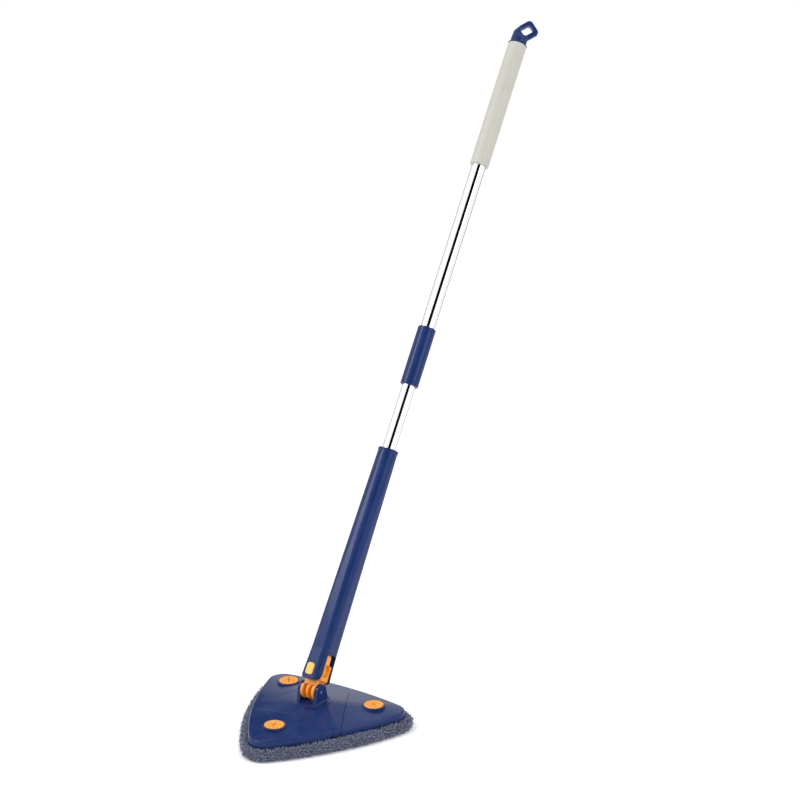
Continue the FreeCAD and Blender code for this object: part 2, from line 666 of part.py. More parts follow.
def knuckles(name, spots, side):
    """Knuckles along the nose's fold line, each with a web to its base; side is -1 outward, 1 inward."""
    pieces = []
    reach = sorted([0, side])
    for number, spot in enumerate(spots, start=1):
        pieces.append(rod_x(f"{name}_{number}", "fold_knuckle", "knuckle_width", "-fold_reach",
                            "fold_height", spot))
        low = (f"{spot} - knuckle_width / 2", f"-fold_reach + {reach[0]} * {WEB}", "pad_thick")
        high = (f"{spot} + knuckle_width / 2", f"-fold_reach + {reach[1]} * {WEB}", "pad_thick + base_thick")
        pieces.append(box(f"{name}_web_{number}", low, high))
    return fuse(name, *pieces)


pin_bore = rod_x("pin_bore", "fold_pin + pin_fit", "2 * plate_side", "-fold_reach", "fold_height")
pin_seat = rod_x("pin_seat", "fold_pin", "2 * plate_side", "-fold_reach", "fold_height")


def screw(name, x, y, low, high):
    """A countersunk screw pointing up from the base's underside."""
    head = cone(name + "_head", "2 * screw_radius", "screw_radius", "screw_radius", (x, y, low))
    shank = cylinder(name + "_shank", "screw_radius", f"({high}) - ({low})", (x, y, low))
    return fuse(name, head, shank)


def screws(name, spots):
    return [screw(f"{name}_{number}", x, y, "pad_thick", SCREW_TOP)
            for number, (x, y) in enumerate(spots, start=1)]


wing_screws = screws("wing_screw", WING_SCREWS)
centre_screws = screws("centre_screw", CENTRE_SCREWS)
wing_base_block = common("wing_base_block", base_body, outer_zone("base_zone", f"fold_reach + {BASE_EDGE}"))
wing_base = fuse("wing_base_full", wing_base_block, knuckles("wing_knuckle", WING_KNUCKLES, -1))
wing_base_form = cut("wing_base_form", wing_base, fuse("wing_base_bores", pin_bore, *wing_screws))

# Pad: one soft chenille pad, held here as a middle and three corners with room to fold.
pad_body = new_body("pad_body")
pad_line = bowed_triangle(new_sketch(pad_body, "pad_line"), "pad_side", "pad_round", "pad_bow")
slab(pad_body, pad_line, "pad_slab", "pad_thick")
pad_form = fillet("pad_form", pad_body, "pad_edge_round", lambda edge, mid: edge.BoundBox.ZLength < 0.01)
HALF_FOLD = "fold_angle / 2 + fold_spare"


def pad_zone(name, gap, tilt):
    """Everything beyond the nose's fold, its face tilted about the fold pin."""
    return box(name, (f"-{FAR}", f"-{FAR}", f"-{FAR}"), (FAR, gap, FAR),
               ("0", "-fold_reach", "fold_height"), (1, 0, 0), tilt)


def folded_zone(name):
    """The nose's own third of the head when the nose is folded right down, as it lies at rest."""
    sides = [box(f"{name}_{number}", (f"-{FAR}", f"-{FAR}", f"-{FAR}"), ("-side_fit / 2", FAR, FAR),
                 ("0", "0", "0"), (0, 0, 1), str(60 * number)) for number in (1, 2)]
    zone = common(name + "_sides", *sides)
    folded = doc.addObject("Part::Compound", name)
    folded.Links = [zone]
    pin = f"0; {named('-fold_reach')}; {named('fold_height')}"
    home = f"0; {named('fold_reach')}; {named('-fold_height')}"
    turn = f"rotation(vector(1; 0; 0); {named('-fold_angle')})"
    folded.setExpression("Placement", f"placement(vector({pin}); {turn}) * "
                         f"placement(vector({home}); rotation(vector(0; 0; 1); 0))")
    return folded


pad_outside = pad_zone("pad_outer_zone", "-side_fit / 2", f"-({HALF_FOLD})")
wing_pad_block = common("wing_pad_block", pad_form, pad_outside)
wing_pad_form = common("wing_pad_form", wing_pad_block, folded_zone("pad_third"))
pad_gap = pad_zone("pad_inner_zone", "side_fit / 2", HALF_FOLD)

for side, turn in TURNS.items():
    part(f"wing_{side}", turned(f"wing_{side}_piece", [wing_form], turn))
    part(f"gripper_{side}", turned(f"gripper_{side}_piece", [gripper_form], turn))
    part(f"base_{side}", turned(f"base_{side}_piece", [wing_base_form], turn))
    part(f"pad_{side}", turned(f"pad_{side}_piece", [wing_pad_form], turn))
    part(f"screws_{side}", turned(f"screws_{side}_piece", wing_screws, turn))

part("pad_centre", cut("pad_centre_piece", pad_form, three_ways("pad_gaps", pad_gap)))
base_middle = triangle_zone("base_middle", f"fold_reach - ({BASE_EDGE})")
centre_base_block = common("centre_base_block", base_body, base_middle)
centre_knuckles = three_ways("centre_knuckles", knuckles("centre_knuckle", CENTRE_KNUCKLES, 1))
centre_base = fuse("centre_base_full", centre_base_block, centre_knuckles)
centre_base_cuts = fuse("centre_base_cuts", three_ways("pin_seats", pin_seat), *centre_screws)
part("base_centre", cut("base_centre_piece", centre_base, centre_base_cuts))
fold_pin = rod_x("fold_pin_rod", "fold_pin", "fold_pin_length", "-fold_reach", "fold_height")
part("fold_pins", doc.addObject("Part::Compound", "fold_pins_piece")).Links = [
    turned(f"fold_pin_{side}", [fold_pin], turn) for side, turn in TURNS.items()]
centre_group = doc.addObject("Part::Compound", "screws_centre_piece")
centre_group.Links = centre_screws
part("screws_centre", centre_group)

# Fold springs: coils round the fold pins that bring the corners back flat.
fold_coil = coil("fold_coil", "fold_pin + spring_wire + spring_air", "fold_spring_length",
                 "fold_spring_turns")
place(fold_coil, (f"fold_spring_at + {SPRING_END}", "-fold_reach", "fold_height"), (0, 1, 0), "90")
fold_springs = doc.addObject("Part::Compound", "fold_springs_piece")
fold_springs.Links = [turned(f"fold_spring_{side}", [fold_coil], turn) for side, turn in TURNS.items()]
part("fold_springs", fold_springs)

# Centre plate: the middle between the folds, with a plinth and the two ears of the pole's joint.
centre_block = common("centre_block", plate_form, triangle_zone("centre_zone", "fold_reach - seam_gap / 2"))
centre_room = common("centre_room", plate_void,
                     triangle_zone("centre_inner_zone", "fold_reach - seam_gap / 2 - plate_wall"))
centre_posts = posts("centre_posts", CENTRE_SCREWS, POST, "pad_thick + base_thick", "plate_peak")
centre_shell = cut("centre_shell", centre_block, cut("centre_hollow", centre_room, centre_posts))
plinth = cylinder("plinth", "plinth_radius", "plinth_thick", ("0", "0", "plinth_top - plinth_thick"))


def ear(name, inner_face):
    """One ear: a tapered upright, round at the top about the pitch pin."""
    body = new_body(name + "_body")
    foot = "plinth_top - ear_sink"
    corners = [("-ear_foot / 2", foot), ("ear_foot / 2", foot), ("ear_radius", "pivot_height"),
               ("-ear_radius", "pivot_height")]
    sketch = straight_outline(new_sketch(body, name + "_line", "YZ_Plane", inner_face), corners)
    slab(body, sketch, name + "_upright", "ear_thick")
    top = rod_x(name + "_top", "ear_radius", "ear_thick", "0", "pivot_height",
                f"{inner_face} + ear_thick / 2")
    return fuse(name, body, top)


ears = [ear("ear_right", "ear_gap / 2"), ear("ear_left", "-ear_gap / 2 - ear_thick")]
centre_full = fuse("centre_full", centre_shell, plinth, *ears)
plinth_height = read("plinth_top")
ear_outer = read("ear_gap / 2 + ear_thick")


def at_ear_foot(edge, mid):
    """Where an ear's outer face meets the plinth."""
    return abs(mid.z - plinth_height) < 0.01 and abs(abs(mid.x) - ear_outer) < 0.01


centre_flared = fillet("centre_flared", centre_full, "ear_flare", at_ear_foot)
pitch_seat = rod_x("pitch_seat", "pin_radius", "ear_gap + 3 * ear_thick", "0", "pivot_height")
centre_bores = posts("centre_bores", CENTRE_SCREWS, "screw_radius", "pad_thick", SCREW_TOP)
centre_cuts = fuse("centre_cuts", pitch_seat, three_ways("channels", channel), centre_bores)
part("centre_plate", cut("centre_plate_piece", centre_flared, centre_cuts))
part("pitch_pin", rod_x("pitch_pin_piece", "pin_radius", "ear_gap + 2 * (ear_thick - pin_short)", "0",
                        "pivot_height"))

# The yoke.
# Drawn upright from the pitch pin: X side to side, -Y the front, Z along the pole.
CHEEKS = "ear_gap - 2 * side_fit"
POCKET = "(ear_gap / 2 - side_fit - yoke_cheek - yoke_web / 2)"
POCKET_X = f"(yoke_web / 2 + {POCKET} / 2)"
HALF_ARM = "arm_depth / 2"
barrel = rod_x("yoke_barrel", "yoke_radius", CHEEKS)
shoulder = box("yoke_shoulder_block", (f"-({CHEEKS}) / 2", f"-{HALF_ARM}", "0"),
               (f"({CHEEKS}) / 2", HALF_ARM, "yoke_shoulder"))
arm = box("yoke_arm", ("-arm_width / 2", f"-{HALF_ARM}", "yoke_shoulder - arm_sink"),
          ("arm_width / 2", HALF_ARM, "roll_height"))
arm_foot = fillet("yoke_arm_foot", arm, "arm_round",
                  lambda edge, mid: mid.z < read("yoke_shoulder") and edge.BoundBox.YLength > 1)
arm_top = rod_y("yoke_arm_top", "arm_width / 2", f"-{HALF_ARM}", HALF_ARM, "0", "roll_height")
yoke_full = fuse("yoke_full", barrel, shoulder, arm_foot, arm_top)
pockets = []
for name, sign in (("right", ""), ("left", "-")):
    low_x = f"{sign}{POCKET_X} - {POCKET} / 2"
    high_x = f"{sign}{POCKET_X} + {POCKET} / 2"
    pockets.append(box(f"yoke_pocket_{name}", (low_x, "-2 * yoke_radius", "-2 * yoke_radius"),
                       (high_x, "2 * yoke_radius", "yoke_arch")))
    pockets.append(rod_y(f"yoke_arch_{name}", f"{POCKET} / 2", "-2 * yoke_radius", "2 * yoke_radius",
                         f"{sign}{POCKET_X}", "yoke_arch"))
ARCH = f"({CHEEKS} / 2 - yoke_cheek)"
arch_round = rod_y("front_arch_round", ARCH, "-2 * yoke_radius", f"-{HALF_ARM} + arch_depth / 2")
arch_block = box("front_arch_block", (f"-{ARCH}", "-2 * yoke_radius", "yoke_arch / 2"), (ARCH, "0", FAR))
front_arch = common("front_arch", arch_round, arch_block)
place(front_arch, ("0", "0", "yoke_arch"))
RECESS_FLAT = f"-{HALF_ARM} + recess_edge"
recess_round = rod_x("recess_round", "recess_radius", "2 * arm_width", "-recess_front", "recess_height")
recess_block = box("recess_block", ("-arm_width", RECESS_FLAT, "yoke_shoulder + recess_foot"),
                   ("arm_width", HALF_ARM, "roll_height - eye_drop"))
recess_core = box("recess_core", ("-arm_width / 2 + recess_depth", "-arm_depth", "0"),
                  ("arm_width / 2 - recess_depth", "arm_depth", "2 * roll_height"))
recess = cut("recess", common("recess_form", recess_round, recess_block), recess_core)
eye_back = box("eye_back", ("-arm_width", f"-{HALF_ARM} + eye_depth", "roll_height - eye_drop"),
               ("arm_width", "arm_depth", "2 * roll_height"))
pitch_bore = rod_x("pitch_bore", "pin_radius + pin_fit", "2 * arm_width")
roll_bore = rod_y("roll_bore", "pin_radius + pin_fit", "-arm_depth", "arm_depth", "0", "roll_height")
BUTTON_MIDDLE = "(button_low + button_high) / 2"
latch_hole = rod_y("latch_hole", "blade_radius + side_fit", "-arm_depth", f"-{HALF_ARM} + latch_depth", "0",
                   BUTTON_MIDDLE)
hub = rod_x("yoke_hub_tube", "yoke_hub", CHEEKS)
yoke_openings = fuse("yoke_openings", *pockets, front_arch, recess, eye_back, latch_hole, roll_bore)
yoke_hollow = cut("yoke_hollow", yoke_full, yoke_openings)
part("yoke", on_pole(cut("yoke_piece", fuse("yoke_with_hub", yoke_hollow, hub), pitch_bore)))
PIN_END = "sleeve_depth / 2 - roll_pin_short"
part("roll_pin", on_pole(doc.addObject("Part::Compound", "roll_pin_piece"))).Links = [
    rod_y("roll_pin_rod", "pin_radius", f"-({PIN_END})", PIN_END, "0", "roll_height")]

# The sleeve.


def tapered_form(name, inset):
    """The sleeve's form, set in by inset: an oblong foot, a knee where the flare ends, a round top."""
    body = new_body(name)
    crown = f"sleeve_crown / 2 - {inset} - arc_flat"
    rings = [("foot", "sleeve_foot", "sleeve_width", "sleeve_depth", f"sleeve_round - {inset}"),
             ("knee", "sleeve_knee", "knee_width", "knee_depth", f"knee_round - {inset}"),
             ("crown", "sleeve_top", "sleeve_crown", "sleeve_crown", crown)]
    sections = []
    for spot, height, width, depth, rounding in rings:
        centres = rectangle_centres(f"{width} - 2 * {inset}", f"{depth} - 2 * {inset}", rounding)
        sections.append(rounded_outline(new_sketch(body, f"{name}_{spot}", height=height), centres, rounding))
    loft(body, sections[0], sections[1:], name + "_loft")
    return body


sleeve_form = tapered_form("sleeve_form", "0")
panel = new_body("panel_form")
PANEL_BACK = "(arm_depth / 2)"
PANEL_FRONT = "(sleeve_depth / 2 + panel_rise)"
FADE = "(panel_top - sleeve_knee) / (sleeve_top - sleeve_knee)"
KNEE_FRONT = "(knee_depth / 2 + panel_rise)"
FADE_FRONT = f"(knee_depth / 2 + (sleeve_crown - knee_depth) / 2 * {FADE} - panel_sink)"
KNEE_SHARE = "knee_rise / panel_length"


def panel_section(name, height, width, front):
    """A section of the raised front panel, from inside the sleeve to its front face."""
    return rounded_outline(new_sketch(panel, name, height=height),
                           rectangle_centres(width, f"{front} - {PANEL_BACK}", "panel_round",
                                             f"-({front} + {PANEL_BACK}) / 2"), "panel_round")


KNEE_PANEL = f"panel_width + (panel_top_width - panel_width) * {KNEE_SHARE}"
panel_low = panel_section("panel_low", "sleeve_foot", "panel_width", PANEL_FRONT)
panel_knee = panel_section("panel_knee", "sleeve_knee", KNEE_PANEL, KNEE_FRONT)
panel_high = panel_section("panel_high", "panel_top", "panel_top_width", FADE_FRONT)
loft(panel, panel_low, [panel_knee, panel_high], "panel_loft")
toe_block = box("toe_block", ("-sleeve_width / 2", "-sleeve_depth", "sleeve_foot"),
                ("sleeve_width / 2", "sleeve_depth", "2 * sleeve_top"))
toe_low = read("sleeve_foot")
toe_form = fillet("toe_form", toe_block, "toe_round",
                  lambda edge, mid: abs(mid.z - toe_low) < 0.01 and edge.BoundBox.YLength > 1)
rim = cylinder("sleeve_rim", "sleeve_crown / 2 + rim_rise", "rim_length",
               ("0", "0", "sleeve_top - rim_length"))
rim_high = read("sleeve_top")
rim_round = fillet("sleeve_rim_round", rim, "rim_edge", lambda edge, mid: edge.BoundBox.ZLength < 0.01)
sleeve_solid = common("sleeve_solid", fuse("sleeve_full", sleeve_form, panel, rim_round), toe_form)
sleeve_inside = tapered_form("sleeve_inside", "sleeve_wall")
chamber = common("sleeve_chamber", sleeve_inside,
                 box("above_floor", (f"-{FAR}", f"-{FAR}", "floor_high"), (FAR, FAR, "2 * sleeve_top")))
GAP = "(arm_depth / 2 + side_fit)"
slot = box("side_slots", ("-sleeve_depth", f"-{GAP}", "0"), ("sleeve_depth", GAP, "slot_top"))
slot_high = read("slot_top")
slot_form = fillet("slot_form", slot, "slot_round",
                   lambda edge, mid: abs(mid.z - slot_high) < 0.01 and edge.BoundBox.XLength > 1)
swing_room = rod_y("swing_room", "arm_width / 2 + swing_fit", f"-{GAP}", GAP, "0", "roll_height")
roll_seat = rod_y("roll_seat", "pin_radius", f"-({PIN_END})", PIN_END, "0", "roll_height")
BUSH_RADIUS = "(sleeve_crown / 2 - sleeve_wall + bush_bite)"
bush_seat = cylinder("bush_seat", BUSH_RADIUS, "2 * bush_length", ("0", "0", "bush_foot"))
plug_bore = cylinder("plug_bore", "plug_screw_radius", "2 * floor_thick", ("0", "0", "plug_head_low"))
plug_head_seat = cylinder("plug_head_seat", "2 * plug_screw_radius + head_fit", "plug_head_thick",
                          ("0", "0", "plug_head_low"))

# Button pocket in the front wall: a window, a wider pocket behind its lip, and a plate that closes it.
HALF_BUTTON = "button_width / 2"
LIP_BACK = f"({PANEL_FRONT} - lip_thick)"
SEAT_BACK = f"({GAP} + seat_room)"


def button_box(name, grow, front, back):
    """A box round the button's outline, grown by grow, between two depths behind the front."""
    return box(name, (f"-{HALF_BUTTON} - ({grow})", f"-({front})", f"button_low - ({grow})"),
               (f"{HALF_BUTTON} + {grow}", f"-({back})", f"button_high + {grow}"))


def round_corners(name, base, radius):
    """Rounds the corners of a box that run front to back."""
    return fillet(name, base, radius,
                  lambda edge, mid: edge.BoundBox.XLength < 0.01 and edge.BoundBox.ZLength < 0.01)


window_box = button_box("button_window_box", "button_fit", "sleeve_depth", f"{LIP_BACK} - flange_thick / 2")
window = round_corners("button_window", window_box, "button_round + button_fit")
pocket_box = button_box("button_pocket_box", "flange_edge + button_fit", LIP_BACK, f"{GAP} - seat_thick")
pocket = round_corners("button_pocket", pocket_box, "button_round + button_fit")
sleeve_cuts = fuse("sleeve_cuts", chamber, slot_form, swing_room, roll_seat, bush_seat, plug_bore,
                   plug_head_seat, window, pocket)
part("sleeve", on_pole(cut("sleeve_piece", sleeve_solid, sleeve_cuts)))

cap_box = button_box("button_cap_box", "0", f"{PANEL_FRONT} + button_rise", f"{LIP_BACK} - flange_thick / 2")
cap_block = round_corners("button_cap_block", cap_box, "button_round")
cap_front = read(f"-({PANEL_FRONT} + button_rise)")
button_cap = fillet("button_cap", cap_block, "button_edge", lambda edge, mid: abs(mid.y - cap_front) < 0.01)
FLANGE_BACK = f"({LIP_BACK} - pin_fit - flange_thick)"
flange_box = button_box("button_flange_box", "flange_edge", f"{LIP_BACK} - pin_fit", FLANGE_BACK)
flange = round_corners("button_flange", flange_box, "button_round")
nose = rod_y("latch_nose", "blade_radius", f"-{FLANGE_BACK} - flange_thick / 2",
             f"-{GAP} - button_travel", "0", BUTTON_MIDDLE)
part("lock_button", on_pole(fuse("lock_button_piece", button_cap, flange, nose)))
seat_box = button_box("seat_box", "flange_edge + button_fit", f"{SEAT_BACK} + seat_thick", SEAT_BACK)
seat_block = round_corners("seat_block", seat_box, "button_round + button_fit")
seat_hole = rod_y("seat_hole", "blade_radius + button_fit", "-sleeve_depth", "0", "0", BUTTON_MIDDLE)
part("button_seat", on_pole(cut("button_seat_piece", seat_block, seat_hole)))
SPRING_ROOM = f"({FLANGE_BACK} - {SEAT_BACK} - seat_thick)"
spring_coil = coil("button_coil", "blade_radius + spring_wire + spring_air", SPRING_ROOM,
                   "button_spring_turns")
place(spring_coil, ("0", f"-{FLANGE_BACK} + {SPRING_END}", BUTTON_MIDDLE), (-1, 0, 0), "90")
part("button_spring", on_pole(doc.addObject("Part::Compound", "button_spring_piece"))).Links = [spring_coil]

# The pole.
TUBE_BORE = "(lower_radius - tube_wall)"
UPPER_BORE = "(upper_radius - tube_wall)"
part("sleeve_bush", pole_ring("sleeve_bush", [
    ("lower_radius", "bush_foot"), (BUSH_RADIUS, "bush_foot"),
    (BUSH_RADIUS, "bush_foot + bush_length"), ("lower_radius", "bush_foot + bush_length")]))
PLUG_RADIUS = "lower_radius + plug_lap"
PLUG_HEAD = "lower_foot + plug_length"
part("tube_plug", pole_ring("tube_plug", [
    ("plug_screw_radius", "floor_high"), (PLUG_RADIUS, "floor_high"), (PLUG_RADIUS, "lower_foot"),
    (TUBE_BORE, "lower_foot"), (TUBE_BORE, PLUG_HEAD), ("plug_screw_radius", PLUG_HEAD)]))
SCREW_END = f"{PLUG_HEAD} - plug_screw_short"
part("plug_screw", pole_ring("plug_screw", [
    ("0", "plug_head_low"), ("2 * plug_screw_radius", "plug_head_low"),
    ("2 * plug_screw_radius", "plug_head_high"), ("plug_screw_radius", "plug_head_high"),
    ("plug_screw_radius", SCREW_END), ("0", SCREW_END)]))
part("lower_tube", pole_ring("lower_tube", [
    (TUBE_BORE, "lower_foot"), ("lower_radius", "lower_foot"),
    ("lower_radius", "lower_head"), (TUBE_BORE, "lower_head")]))
SLIDE_RADIUS = f"({UPPER_BORE} - slide_fit)"
SLIDE_BORE = f"{TUBE_BORE} - slide_bush_wall"
part("slide_bush", pole_ring("slide_bush", [
    (SLIDE_BORE, "lower_head - bush_length"), (TUBE_BORE, "lower_head - bush_length"),
    (TUBE_BORE, "lower_head"), (SLIDE_RADIUS, "lower_head"), (SLIDE_RADIUS, "lower_head + bush_length / 2"),
    (SLIDE_BORE, "lower_head + bush_length / 2")]))
upper_body = new_body("upper_tube_body")
revolve(upper_body, "upper_tube", [
    (UPPER_BORE, "upper_foot"), ("upper_radius", "upper_foot"),
    ("upper_radius", "upper_head"), (UPPER_BORE, "upper_head")])
rivet_drill = rod_x("rivet_drill", "screw_radius", "4 * upper_radius", "0", "rivet_height")
rivet_hole = turned("rivet_hole", [rivet_drill], "cap_turn")
part("upper_tube", on_pole(cut("upper_tube_piece", upper_body, rivet_hole)))

# Twist lock: a split ferrule on the upper tube's end, inside the collar that turns on it.
FERRULE_RADIUS = "(upper_radius + ferrule_wall)"
FERRULE_FOOT = "collar_foot + collar_lip + ferrule_air"
ferrule = new_body("ferrule_body")
revolve(ferrule, "ferrule", [
    ("lower_radius + ferrule_fit", FERRULE_FOOT), (FERRULE_RADIUS, FERRULE_FOOT),
    (FERRULE_RADIUS, "upper_foot + ferrule_length"), ("upper_radius", "upper_foot + ferrule_length"),
    ("upper_radius", "upper_foot"), ("lower_radius + ferrule_fit", "upper_foot")])
splits = [box(f"ferrule_split_{number}", ("-2 * upper_radius", "-split_width / 2", "collar_foot"),
              ("2 * upper_radius", "split_width / 2", "upper_foot - split_short"),
              ("0", "0", "0"), (0, 0, 1), str(180 * number / SPLITS)) for number in range(SPLITS)]
part("tube_ferrule", on_pole(cut("tube_ferrule_piece", ferrule, fuse("ferrule_splits", *splits))))
CHAMBER_RADIUS = f"({FERRULE_RADIUS} + collar_play)"
CHAMBER_HEAD = "upper_foot + ferrule_length + ferrule_air"
part("lock_collar", pole_ring("lock_collar", [
    ("lower_radius + collar_play", "collar_foot"), ("collar_radius - collar_edge", "collar_foot"),
    ("collar_radius", "collar_foot + collar_edge"), ("collar_radius", "collar_head - collar_edge"),
    ("collar_radius - collar_edge", "collar_head"), ("upper_radius + collar_seat", "collar_head"),
    ("upper_radius + collar_seat", CHAMBER_HEAD), (CHAMBER_RADIUS, CHAMBER_HEAD),
    (CHAMBER_RADIUS, "collar_foot + collar_lip"),
    ("lower_radius + collar_play", "collar_foot + collar_lip")]))

# Grip and cap with the hanging loop.
part("grip", pole_ring("grip", [
    ("upper_radius", "grip_foot"), ("grip_radius - grip_edge", "grip_foot"),
    ("grip_radius", "grip_foot + grip_edge"), ("grip_radius", "grip_head - grip_edge"),
    ("grip_radius - grip_edge", "grip_head"), ("upper_radius", "grip_head")]))
LOOP_BASE = ("loop_shift", "0", "neck_head + loop_rise")
cap_body = new_body("cap_body")
NECK_ARC = "neck_radius - arc_flat"
NECK_CENTRES = rectangle_centres("2 * neck_radius", "2 * neck_radius", NECK_ARC)
neck_low = rounded_outline(new_sketch(cap_body, "neck_low", height="neck_foot"), NECK_CENTRES, NECK_ARC)
slab(cap_body, neck_low, "cap_neck", "neck_length")
neck_high = rounded_outline(new_sketch(cap_body, "neck_high", height="neck_head"), NECK_CENTRES, NECK_ARC)


def bend_section(name, base, bend, thick, rounding):
    """A section of the cap across its bend, turned by part of the bend."""
    centres = rectangle_centres("loop_width", thick, rounding)
    sketch = rounded_outline(new_sketch(cap_body, name), centres, rounding)
    middle = "; ".join(named(v) for v in base)
    turn = f"rotation(vector(0; 1; 0); {named(bend)})"
    sketch.setExpression("AttachmentOffset", f"placement(vector({middle}); {turn})")
    return sketch


bend_middle = bend_section("bend_middle", ("bend_shift", "0", "neck_head + bend_rise"), "loop_bend / 2",
                           "bend_thick", "bend_round")
loop_start = bend_section("loop_start", LOOP_BASE, "loop_bend", "loop_thick", "loop_edge")
doc.recompute()
loft(cap_body, neck_high, [bend_middle, loop_start], "cap_shoulder")

loop_box = box("loop_box", ("-loop_width / 2", "-loop_thick / 2", "0"),
               ("loop_width / 2", "loop_thick / 2", "loop_length"))
loop_high = read("loop_length")
loop_ends = fillet("loop_ends", loop_box, "loop_corner",
                   lambda edge, mid: abs(mid.z - loop_high) < 0.01 and edge.BoundBox.YLength > 1)
loop_soft = fillet("loop_soft", loop_ends, "loop_edge",
                   lambda edge, mid: abs(abs(mid.y) - read("loop_thick / 2")) < 0.01 and mid.z > 0.01)
eye_box = box("eye_box", ("-loop_width / 2 + loop_bar", "-loop_thick", "loop_length - loop_bar - eye_length"),
              ("loop_width / 2 - loop_bar", "loop_thick", "loop_length - loop_bar"))
loop_eye = round_corners("loop_eye", eye_box, "eye_corner")
for thing in (loop_soft, loop_eye):
    place(thing, LOOP_BASE, (0, 1, 0), "loop_bend")
spigot = cylinder("cap_spigot", UPPER_BORE, "neck_foot - upper_head + spigot_length",
                  ("0", "0", "upper_head - spigot_length"))
flange_ring = cone("cap_flange", "grip_radius + flange_lip", "neck_radius", "flange_height",
                   ("0", "0", "grip_head"))
rivet_seat = rod_x("rivet_seat", "screw_radius", "4 * upper_radius", "0", "rivet_height")
cap_cuts = fuse("cap_cuts", loop_eye, rivet_seat)
cap_full = fuse("cap_full", spigot, flange_ring, cap_body, loop_soft)
part("hang_cap", on_pole(cut("hang_cap_piece", cap_full, cap_cuts), "cap_turn"))
rivet = rod_x("cap_rivet_rod", "screw_radius", "2 * (upper_radius - rivet_short)", "0", "rivet_height")
part("cap_rivet", on_pole(doc.addObject("Part::Compound", "cap_rivet_piece"), "cap_turn")).Links = [rivet]

# Export.
doc.recompute()
for thing in doc.Objects:
    if "Invalid" in thing.State or "Error" in thing.State:
        raise RuntimeError(f"{thing.Name} failed: {thing.State}")
for thing in parts:
    if thing.Shape.isNull() or not thing.Shape.isValid():
        raise RuntimeError(f"{thing.Label} has no sound shape")
for thing in parts:
    thing.Shape.exportStep(f"parts/{thing.Label}.step")
    print(thing.Label, len(thing.Shape.Solids), round(thing.Shape.Volume / 1000, 2), "cm3")
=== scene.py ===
import bpy
import json
import math
import random
import numpy as np
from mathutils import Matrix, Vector


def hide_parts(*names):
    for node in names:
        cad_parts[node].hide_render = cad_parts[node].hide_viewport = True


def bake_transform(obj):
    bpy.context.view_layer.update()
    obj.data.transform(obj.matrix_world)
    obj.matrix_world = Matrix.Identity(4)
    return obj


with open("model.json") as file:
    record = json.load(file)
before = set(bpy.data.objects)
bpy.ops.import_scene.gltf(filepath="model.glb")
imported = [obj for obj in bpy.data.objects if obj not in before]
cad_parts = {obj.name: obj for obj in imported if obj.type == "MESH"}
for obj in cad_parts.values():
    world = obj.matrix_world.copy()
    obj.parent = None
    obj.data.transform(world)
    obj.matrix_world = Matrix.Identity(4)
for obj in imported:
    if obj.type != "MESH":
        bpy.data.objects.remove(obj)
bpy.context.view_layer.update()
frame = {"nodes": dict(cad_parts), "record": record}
nodes = frame["nodes"]
bpy.ops.object.select_all(action="DESELECT")
print("frame loaded:", len(nodes), "nodes")

poleLean = 32.0      # degrees, from upright towards the back
tiny = 1e-12         # keeps a division off zero


# small helpers for node trees

def addNode(tree, kind, **settings):
    node = tree.nodes.new(kind)
    for name, value in settings.items():
        setattr(node, name, value)
    return node


def startGroup(name, inputs, outputs):
    group = bpy.data.node_groups.new(name, "ShaderNodeTree")
    for label in inputs:
        group.interface.new_socket(label, in_out="INPUT", socket_type="NodeSocketFloat")
    for label, kind in outputs:
        group.interface.new_socket(label, in_out="OUTPUT", socket_type="NodeSocket" + kind)
    return group, group.nodes.new("NodeGroupInput"), group.nodes.new("NodeGroupOutput")


def useGroup(tree, group, **values):
    # every input of a group is given, so none needs a value of its own
    node = addNode(tree, "ShaderNodeGroup", node_tree=group)
    for label, value in values.items():
        node.inputs[label].default_value = value
    return node


def mathNode(tree, operation, first, second, clamp=False):
    node = addNode(tree, "ShaderNodeMath", operation=operation, use_clamp=clamp)
    for socket, value in zip(node.inputs, (first, second)):
        if isinstance(value, (int, float)):
            socket.default_value = value
        else:
            tree.links.new(value, socket)
    return node.outputs[0]


def mixTones(tree, factor, first, second):
    node = addNode(tree, "ShaderNodeMix", data_type="RGBA")
    if isinstance(factor, (int, float)):
        node.inputs["Factor"].default_value = factor
    else:
        tree.links.new(factor, node.inputs["Factor"])
    for label, value in (("A", first), ("B", second)):
        socket = next(s for s in node.inputs if s.name == label and s.type == "RGBA")
        if isinstance(value, tuple):
            socket.default_value = (*value, 1)
        else:
            tree.links.new(value, socket)
    return next(s for s in node.outputs if s.type == "RGBA")


def spread(tree, value, low, high, fromLow=0.3, fromHigh=0.7):
    node = addNode(tree, "ShaderNodeMapRange")
    tree.links.new(value, node.inputs["Value"])
    node.inputs["From Min"].default_value = fromLow
    node.inputs["From Max"].default_value = fromHigh
    node.inputs["To Min"].default_value = low
    node.inputs["To Max"].default_value = high
    return node.outputs["Result"]


# shared effects

effects = {
    "grainDetail": 3,
    "cloudDetail": 5,
    "bevelSamples": 6,
    "wearAndHighlightSteepness": 7.0,
    "scuffDetail": 4,
    "scuffCover": (0.25, 1.0),
    "scuffBand": (0.35, 0.65),
    "dustDetail": 6,
    "dustBand": (0.4, 0.75),
    "lineDetail": 3,
    "lineStretch": 60,
    "paintedShadeSamples": 8,
    "paintedShadeBand": (0.12, 0.62),
}


